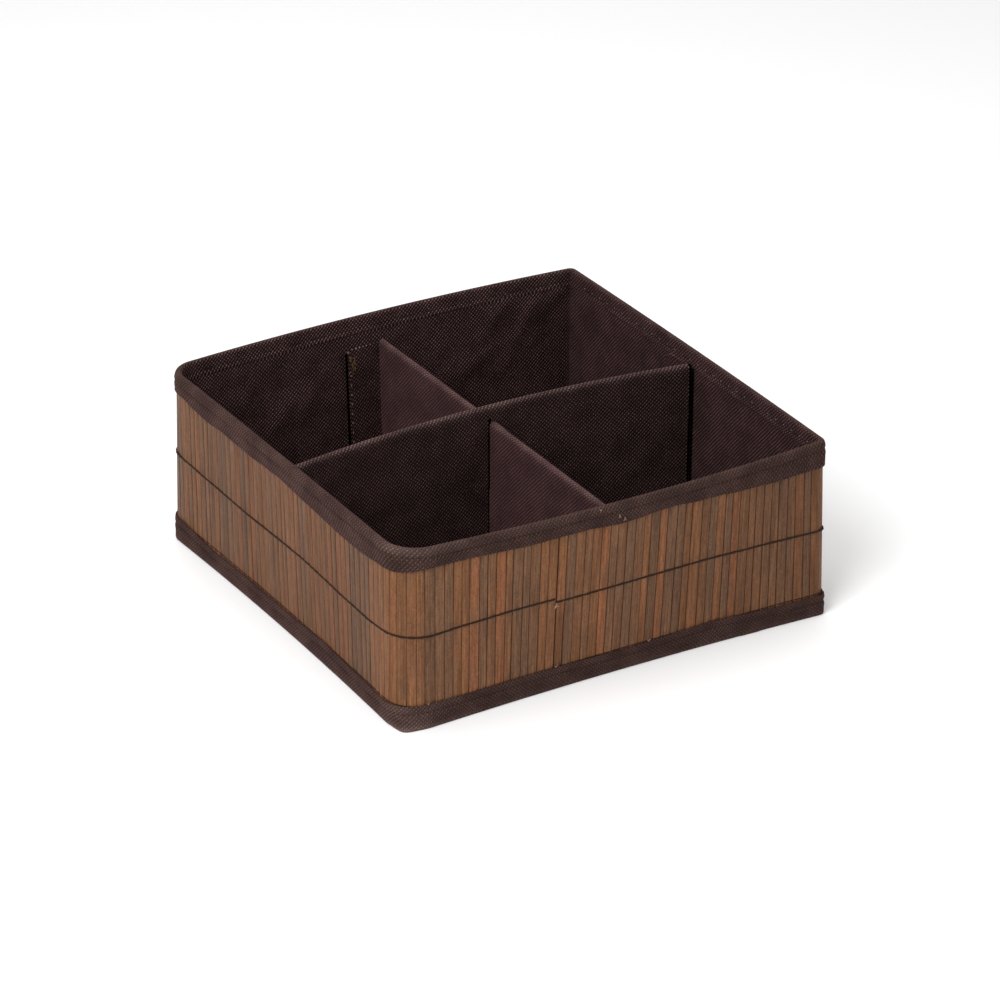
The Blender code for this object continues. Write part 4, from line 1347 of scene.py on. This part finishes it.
FLAP_CHAMFER_SLOPE = 0.8
FLAP_BEVEL = 0.0013
FLAP_BEVEL_POWER = 8
FLAP_STAND_OFF = 0.0044
FLAP_LIFT_AT_FOOT = 1.35
FLAP_LIFT_LOSS = 0.9
FLAP_HEM_RISE = 0.0003
FLAP_HEM_HALF_WIDTH = 0.0008
FLAP_STITCH_INSET = 0.0022
FLAP_STITCH_PITCH = 0.0070
FLAP_STITCH_LENGTH = 0.0016
FLAP_STITCH_RADIUS = 0.0004
FLAP_STITCH_ENDS = (0.002, 0.012)
RIDGE_WEAR_AND_HIGHLIGHT_REACH = 0.0024
RIDGE_WEAR_AND_HIGHLIGHT_SHARE = 0.64
# Width of the painted shadow line on the long divider beside the cross divider, and how far below the ridge
# it starts
SHADOW_LINE_WIDTH = 0.0020
SHADOW_LINE_FROM_RIDGE = 0.0070
PINCH_DEPTH = 0.0006
PINCH_SIZE = (0.006, 0.010)
BACK_TACK_LOOPS = 18
BACK_TACK_DROP = 0.0042
BACK_TACK_HEIGHT = 0.0130
BACK_TACK_RADIUS = 0.00026
BACK_TACK_PROUD = 0.0004
BACK_TACK_INSETS = (0.0006, 0.0064)
BACK_TACK_ASIDES = (-0.0018, 0.0018)
BACK_TACK_DROPS = (0.0010, 0.0030)
BACK_TACK_ARC = ((0, -1), (0.3, 0.8), (0.7, 0.8), (1, -1))
BACK_TACK_SEED = 4
DIVIDER_GROUND = (0.0062, 0.0027, 0.0027)
DIVIDER_DOT = (0.215, 0.138, 0.126)
DIVIDER_DOT_SHARE = 0.7
# Ground and dots of a lighter copy of the divider cloth for the cross divider: painted light on the same
# cloth
CROSS_LIT_GROUND = (0.0180, 0.0078, 0.0082)
CROSS_DOT_SHARE = 0.44
DIVIDER_SHEEN = 0.14
TACK_COLOUR = (0.260, 0.135, 0.060)
TACK_LAY = 0.0012
# Near-black cloth that paints shadow where only shade falls: the gap at the long divider's right end, the
# line beside the cross divider and the flaps' cut ends
PAINTED_SHADOW_COLOUR = (0.0012, 0.0009, 0.0009)
PAINTED_SHADOW_WIDTH = 0.0016
DIVIDER_CLOTH = dotted_cloth("divider_cloth", DIVIDER_GROUND, DIVIDER_DOT, DIVIDER_DOT_SHARE, DIVIDER_SHEEN)
LIT_CROSS_CLOTH = dotted_cloth("cross_divider_cloth", CROSS_LIT_GROUND, DIVIDER_DOT, CROSS_DOT_SHARE, DIVIDER_SHEEN)
TACK_THREAD = twisted_thread("tack_thread", TACK_COLOUR, TACK_LAY)
PAINTED_SHADOW, _, shadow_shader = start_material("painted_shadow", roughness=1.0, gloss=0)
shadow_shader.inputs["Base Color"].default_value = (*PAINTED_SHADOW_COLOUR, 1)


def side_station(side, along, height, offset):
    """Station on a wall layer, at a distance from the wall's middle in the order of the stations."""
    following = OUTWARD[(side + 1) % len(SIDES)]
    start = corner_centre((side - 1) % len(SIDES), height, offset).dot(following)
    end = corner_centre(side, height, offset).dot(following)
    return 2 * side + (along - start) / (end - start)


def between_walls(start_side, end_side, from_middle, share, height):
    """Point of the straight line between two opposite walls, at a distance from their middles."""
    start, end = (
        wall_point(side_station(side, along, height, DIVIDER_END), height, DIVIDER_END)
        for side, along in ((start_side, -from_middle), (end_side, from_middle))
    )
    return start.lerp(end, share)


def long_line(share, height, offset):
    """Line of the long divider, from the left wall to the right one, bowed towards the back."""
    bow = 4 * share * (1 - share) * LONG_BOW
    return between_walls(LEFT, RIGHT, LONG_FROM_MIDDLE, share, height) + Vector((0, bow + offset, 0))


def cross_line(share, height, offset):
    """Line of the cross divider, straight from the back wall to the front one."""
    return between_walls(BACK, FRONT, CROSS_FROM_MIDDLE, share, height) + Vector((offset, 0, 0))


crossing_share = 0.5 + CROSS_FROM_MIDDLE / BOX_SIDE
crossing = long_line(crossing_share, SLOT_HEIGHT, 0)
crossing.x = CROSS_FROM_MIDDLE


def cover_path(top, half, step):
    """Half thickness and height along a cover, up one face, over the ridge and down the other."""
    shoulder = top - DIVIDER_HALF
    up = [(half, height) for height in evenly(DIVIDER_FOOT, shoulder, step)]
    turns = [math.pi * turn / DIVIDER_ROUND_STEPS for turn in range(1, DIVIDER_ROUND_STEPS)]
    over = [(half * math.cos(turn), shoulder + half * math.sin(turn)) for turn in turns]
    return up + over + [(-offset, height) for offset, height in reversed(up)]


def divider_cover(name, line, top, body, seed, cloth):
    """Folded cloth over both faces and the ridge of a board."""
    outside = cover_path(top, DIVIDER_HALF, DIVIDER_STEP)
    section = outside + cover_path(top, DIVIDER_INNER_HALF, DIVIDER_INNER_STEP)[::-1]
    length = (line(1, DIVIDER_FOOT, 0) - line(0, DIVIDER_FOOT, 0)).length
    shadow_line = crossing_share * length - DIVIDER_HALF - SHADOW_LINE_WIDTH
    run = evenly(0, shadow_line, DIVIDER_STEP)
    run += evenly(shadow_line + SHADOW_LINE_WIDTH, length - PAINTED_SHADOW_WIDTH, DIVIDER_STEP) + [length]
    points = []
    for distance in run:
        row = []
        for number, (offset, height) in enumerate(section):
            away = (line(distance / length, height, 0).xy - crossing.xy).length
            wave = ripple(COVER_PUFF_SIZE, distance, height, seed + (offset > 0))
            pinch = bell(distance - shadow_line, PINCH_SIZE[0]) * bell(height - CROSS_TOP, PINCH_SIZE[1])
            puff = COVER_PUFF * wave * min(1, away / CALM_AT_CROSSING) - PINCH_DEPTH * pinch
            if number >= len(outside):
                puff = 0
            row.append(line(distance / length, height, offset + math.copysign(puff, offset)))
        points.append(row)
    across = [-distance for distance in across_section(section)]
    mesh = cloth_mesh(name, points, run, across, False, True)
    return make_piece(name, mesh, cloth, body)


# Corners of an upright box's section, seen from above
SQUARE = ((-1, -1), (1, -1), (1, 1), (-1, 1))


def cut_away(piece, half_x, half_y, foot, top):
    """Cut an upright box at the crossing out of a piece, and keep the result as its mesh."""
    corners = [
        (crossing.x + x * half_x, crossing.y + y * half_y, height)
        for height in (foot, top) for x, y in SQUARE
    ]
    faces = ((3, 2, 1, 0), (4, 5, 6, 7), (0, 1, 5, 4), (1, 2, 6, 5), (2, 3, 7, 6), (3, 0, 4, 7))
    cutter = add_object("slot", mesh_of("slot", corners, faces))
    cut = piece.modifiers.new("slot", "BOOLEAN")
    cut.operation = "DIFFERENCE"
    cut.object = cutter
    finished = bpy.data.meshes.new_from_object(piece.evaluated_get(bpy.context.evaluated_depsgraph_get()))
    piece.modifiers.clear()
    piece.data = finished
    bpy.data.objects.remove(cutter)


def back_tack(name, length, flap_top, flap_point, body):
    """Loops of thread sewn over each other, which close a flap's upper corner."""
    dice = random.Random(BACK_TACK_SEED)
    loops = []
    for number in range(BACK_TACK_LOOPS):
        column = length - dice.uniform(*BACK_TACK_INSETS)
        height = flap_top - BACK_TACK_DROP - BACK_TACK_HEIGHT * number / BACK_TACK_LOOPS
        aside = dice.uniform(*BACK_TACK_ASIDES)
        drop = dice.uniform(*BACK_TACK_DROPS)
        loops.append([
            flap_point(column + aside * share, height - drop * share, FLAP_FACE - BACK_TACK_PROUD * stand)
            for share, stand in BACK_TACK_ARC
        ])
    make_thread(name, loops, BACK_TACK_RADIUS, TACK_THREAD, body)


def make_flap(name, side, along, top, body):
    """Hemmed flap along the wall past a divider's end, which stands off a little at its free edge. Its cut
    ends are painted near black as shadow.
    """
    length = FLAP_WIDTH + 2 * DIVIDER_HALF
    flap_top = top - DIVIDER_HALF
    rise_to_top = flap_top - DIVIDER_FOOT

    def flap_point(column, height, offset):
        free = max(0, column - 2 * DIVIDER_HALF) / FLAP_WIDTH
        up = (height - DIVIDER_FOOT) / rise_to_top
        lift = FLAP_STAND_OFF * free * free * (FLAP_LIFT_AT_FOOT - FLAP_LIFT_LOSS * up)
        if offset == FLAP_BACK:
            column += FLAP_BEVEL * free ** FLAP_BEVEL_POWER
            lift = 0
        station = side_station(side, along - DIVIDER_HALF + column, height, FLAP_FACE)
        return wall_point(station, height, offset - lift)

    columns = evenly(0, length, FLAP_COLUMN)
    section = flat_section(FLAP_FACE, FLAP_BACK, 0, 1, FLAP_ROW_SHARE)
    points = []
    for column in columns:
        tall = rise_to_top - max(0, column - (length - FLAP_CHAMFER)) * FLAP_CHAMFER_SLOPE
        hem = FLAP_HEM_RISE * bell(length - column - FLAP_STITCH_INSET, FLAP_HEM_HALF_WIDTH)
        hems = {FLAP_FACE: hem, FLAP_BACK: 0}
        points.append([
            flap_point(column, DIVIDER_FOOT + tall * rise, offset + hems[offset]) for offset, rise in section
        ])
    flat_heights = [rise_to_top * rise for _, rise in section] + [0]
    mesh = cloth_mesh(name, points, [-column for column in columns], flat_heights, False, True)
    flap = make_piece(name, mesh, cloth_of(side), body)
    # The flap's two cut ends get painted shadow, for the gap behind the free edge is in shade
    mesh.materials.append(PAINTED_SHADOW)
    for face in mesh.polygons:
        face.material_index = int(len(face.vertices) > 4)
    stitch_row(
        name + "_stitches",
        lambda height, sink: flap_point(length - FLAP_STITCH_INSET, height, FLAP_FACE + STITCH_PROUD + sink),
        DIVIDER_FOOT + FLAP_STITCH_ENDS[0], flap_top - FLAP_STITCH_ENDS[1], PALE_THREAD, body,
        FLAP_STITCH_PITCH, FLAP_STITCH_LENGTH, FLAP_STITCH_RADIUS,
    )
    if side in (BACK, FRONT):
        back_tack(name + "_back_tack", length, flap_top, flap_point, body)
    return flap


def ridge_wear_and_highlight(top):
    """The cloth is stretched smooth over a divider's ridge, and its top is painted lighter there as a
    highlight.
    """
    return lambda point: RIDGE_WEAR_AND_HIGHLIGHT_SHARE * bell(top - point.z, RIDGE_WEAR_AND_HIGHLIGHT_REACH)


slot_half = DIVIDER_HALF + SLOT_PLAY
through = DIVIDER_HALF + SLOT_REACH
cross_slot = (through, slot_half, SLOT_HEIGHT, CROSS_TOP + SLOT_REACH)
long_slot = (slot_half, through, DIVIDER_FOOT - SLOT_REACH, SLOT_HEIGHT + SLOT_PLAY)
for name, line, top, seed, slot, cloth in (
    ("cross_divider", cross_line, CROSS_TOP, 10, cross_slot, LIT_CROSS_CLOTH),
    ("long_divider", long_line, LONG_TOP, 20, long_slot, DIVIDER_CLOTH),
):
    cover = divider_cover(name + "_cloth", line, top, name, seed, cloth)
    cut_away(cover, *slot)
    mark_wear_and_highlight(cover.data, ridge_wear_and_highlight(top))
    cover.data.materials.append(PAINTED_SHADOW)
    # On the long divider, the faces at its right end and a narrow line beside the cross divider get painted
    # shadow, for the gaps there are in shade
    for face in cover.data.polygons if line == long_line else ():
        from_end = line(1, face.center.z, 0).x - face.center.x
        from_shadow_line = crossing.x - DIVIDER_HALF - face.center.x
        below = face.center.z < top - SHADOW_LINE_FROM_RIDGE and face.center.y < crossing.y
        if from_end < PAINTED_SHADOW_WIDTH or (below and 0 < from_shadow_line < SHADOW_LINE_WIDTH):
            face.material_index = 1
    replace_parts(cover, name + "_cover")
    dress_board(name + "_board")
for name, side, along, top, body in (
    ("cross_divider_back", BACK, -CROSS_FROM_MIDDLE, CROSS_TOP, "cross_divider"),
    ("cross_divider_front", FRONT, CROSS_FROM_MIDDLE, CROSS_TOP, "cross_divider"),
    ("long_divider_right", RIGHT, LONG_FROM_MIDDLE, LONG_TOP, "long_divider"),
    ("long_divider_left", LEFT, -LONG_FROM_MIDDLE, LONG_TOP, "long_divider"),
):
    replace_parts(make_flap(name + "_hemmed", side, along, top, body), name + "_flap")

# Studio
# A wide pale paper floor under three soft lights and an even white surround. The floor keeps the
# box's shadow.
FLOOR_SIZE = 6.0
FLOOR_COLOUR = (0.98, 0.98, 0.98)
LIGHTS = (
    ("key", (-1.30, -0.75, 1.60), 1.3, 36),
    ("fill", (1.20, -1.50, 1.10), 1.6, 4),
    ("top", (0.10, 0.50, 1.90), 1.8, 16),
)
WORLD_STRENGTH = 0.45
LIGHT_AIM = Vector((0, 0, 0.06))

floor_corners = [(x * FLOOR_SIZE / 2, y * FLOOR_SIZE / 2, 0) for x, y in SQUARE]
floor = add_object("floor", mesh_of("floor", floor_corners, [(0, 1, 2, 3)]))
floor_paper, _, floor_shader = start_material("floor_paper", roughness=0.9)
floor_shader.inputs["Base Color"].default_value = (*FLOOR_COLOUR, 1)
floor.data.materials.append(floor_paper)

world = bpy.data.worlds.new("studio")
bpy.context.scene.world = world
world.use_nodes = True
backdrop = world.node_tree.nodes["Background"]
backdrop.inputs["Color"].default_value = (1, 1, 1, 1)
path = world.node_tree.nodes.new("ShaderNodeLightPath")
seen = calc(world.node_tree, "MAXIMUM", path.outputs["Is Camera Ray"], path.outputs["Is Glossy Ray"])
plus = times(world.node_tree, seen, 1 - WORLD_STRENGTH)
world.node_tree.links.new(calc(world.node_tree, "ADD", WORLD_STRENGTH, plus), backdrop.inputs["Strength"])


def look_along(thing, way):
    """Turn a lamp or the camera to look along a way."""
    thing.rotation_mode = "QUATERNION"
    thing.rotation_quaternion = way.to_track_quat("-Z", "Y")


for name, place, size, power in LIGHTS:
    light = bpy.data.lights.new(name, "AREA")
    light.shape = "DISK"
    light.size = size
    light.energy = power
    lamp = add_object(name, light)
    lamp.location = place
    look_along(lamp, LIGHT_AIM - Vector(place))

# Camera
# It stands off the front left corner and looks down on the box, as the photograph does. The lens
# is long, so the far walls look only a little smaller than the near ones.
CAMERA_TURN = math.radians(-30.55)
CAMERA_RISE = math.radians(27.045)
CAMERA_DISTANCE = 3.2644
CAMERA_LENS_MM = 174.12
CAMERA_SENSOR_MM = 36
AIM_RIGHT = 0.005578
AIM_UP = 0.049369

back_way = Vector((
    math.sin(CAMERA_TURN) * math.cos(CAMERA_RISE),
    -math.cos(CAMERA_TURN) * math.cos(CAMERA_RISE),
    math.sin(CAMERA_RISE),
))
right_way = Vector((math.cos(CAMERA_TURN), math.sin(CAMERA_TURN), 0))
aim = right_way * AIM_RIGHT + back_way.cross(right_way) * AIM_UP
camera_data = bpy.data.cameras.new("camera")
camera_data.lens = CAMERA_LENS_MM
camera_data.sensor_width = CAMERA_SENSOR_MM
camera = add_object("camera", camera_data)
look_along(camera, -back_way)
camera.location = aim + back_way * CAMERA_DISTANCE
bpy.context.scene.camera = camera
bpy.context.scene.view_settings.view_transform = "Standard"
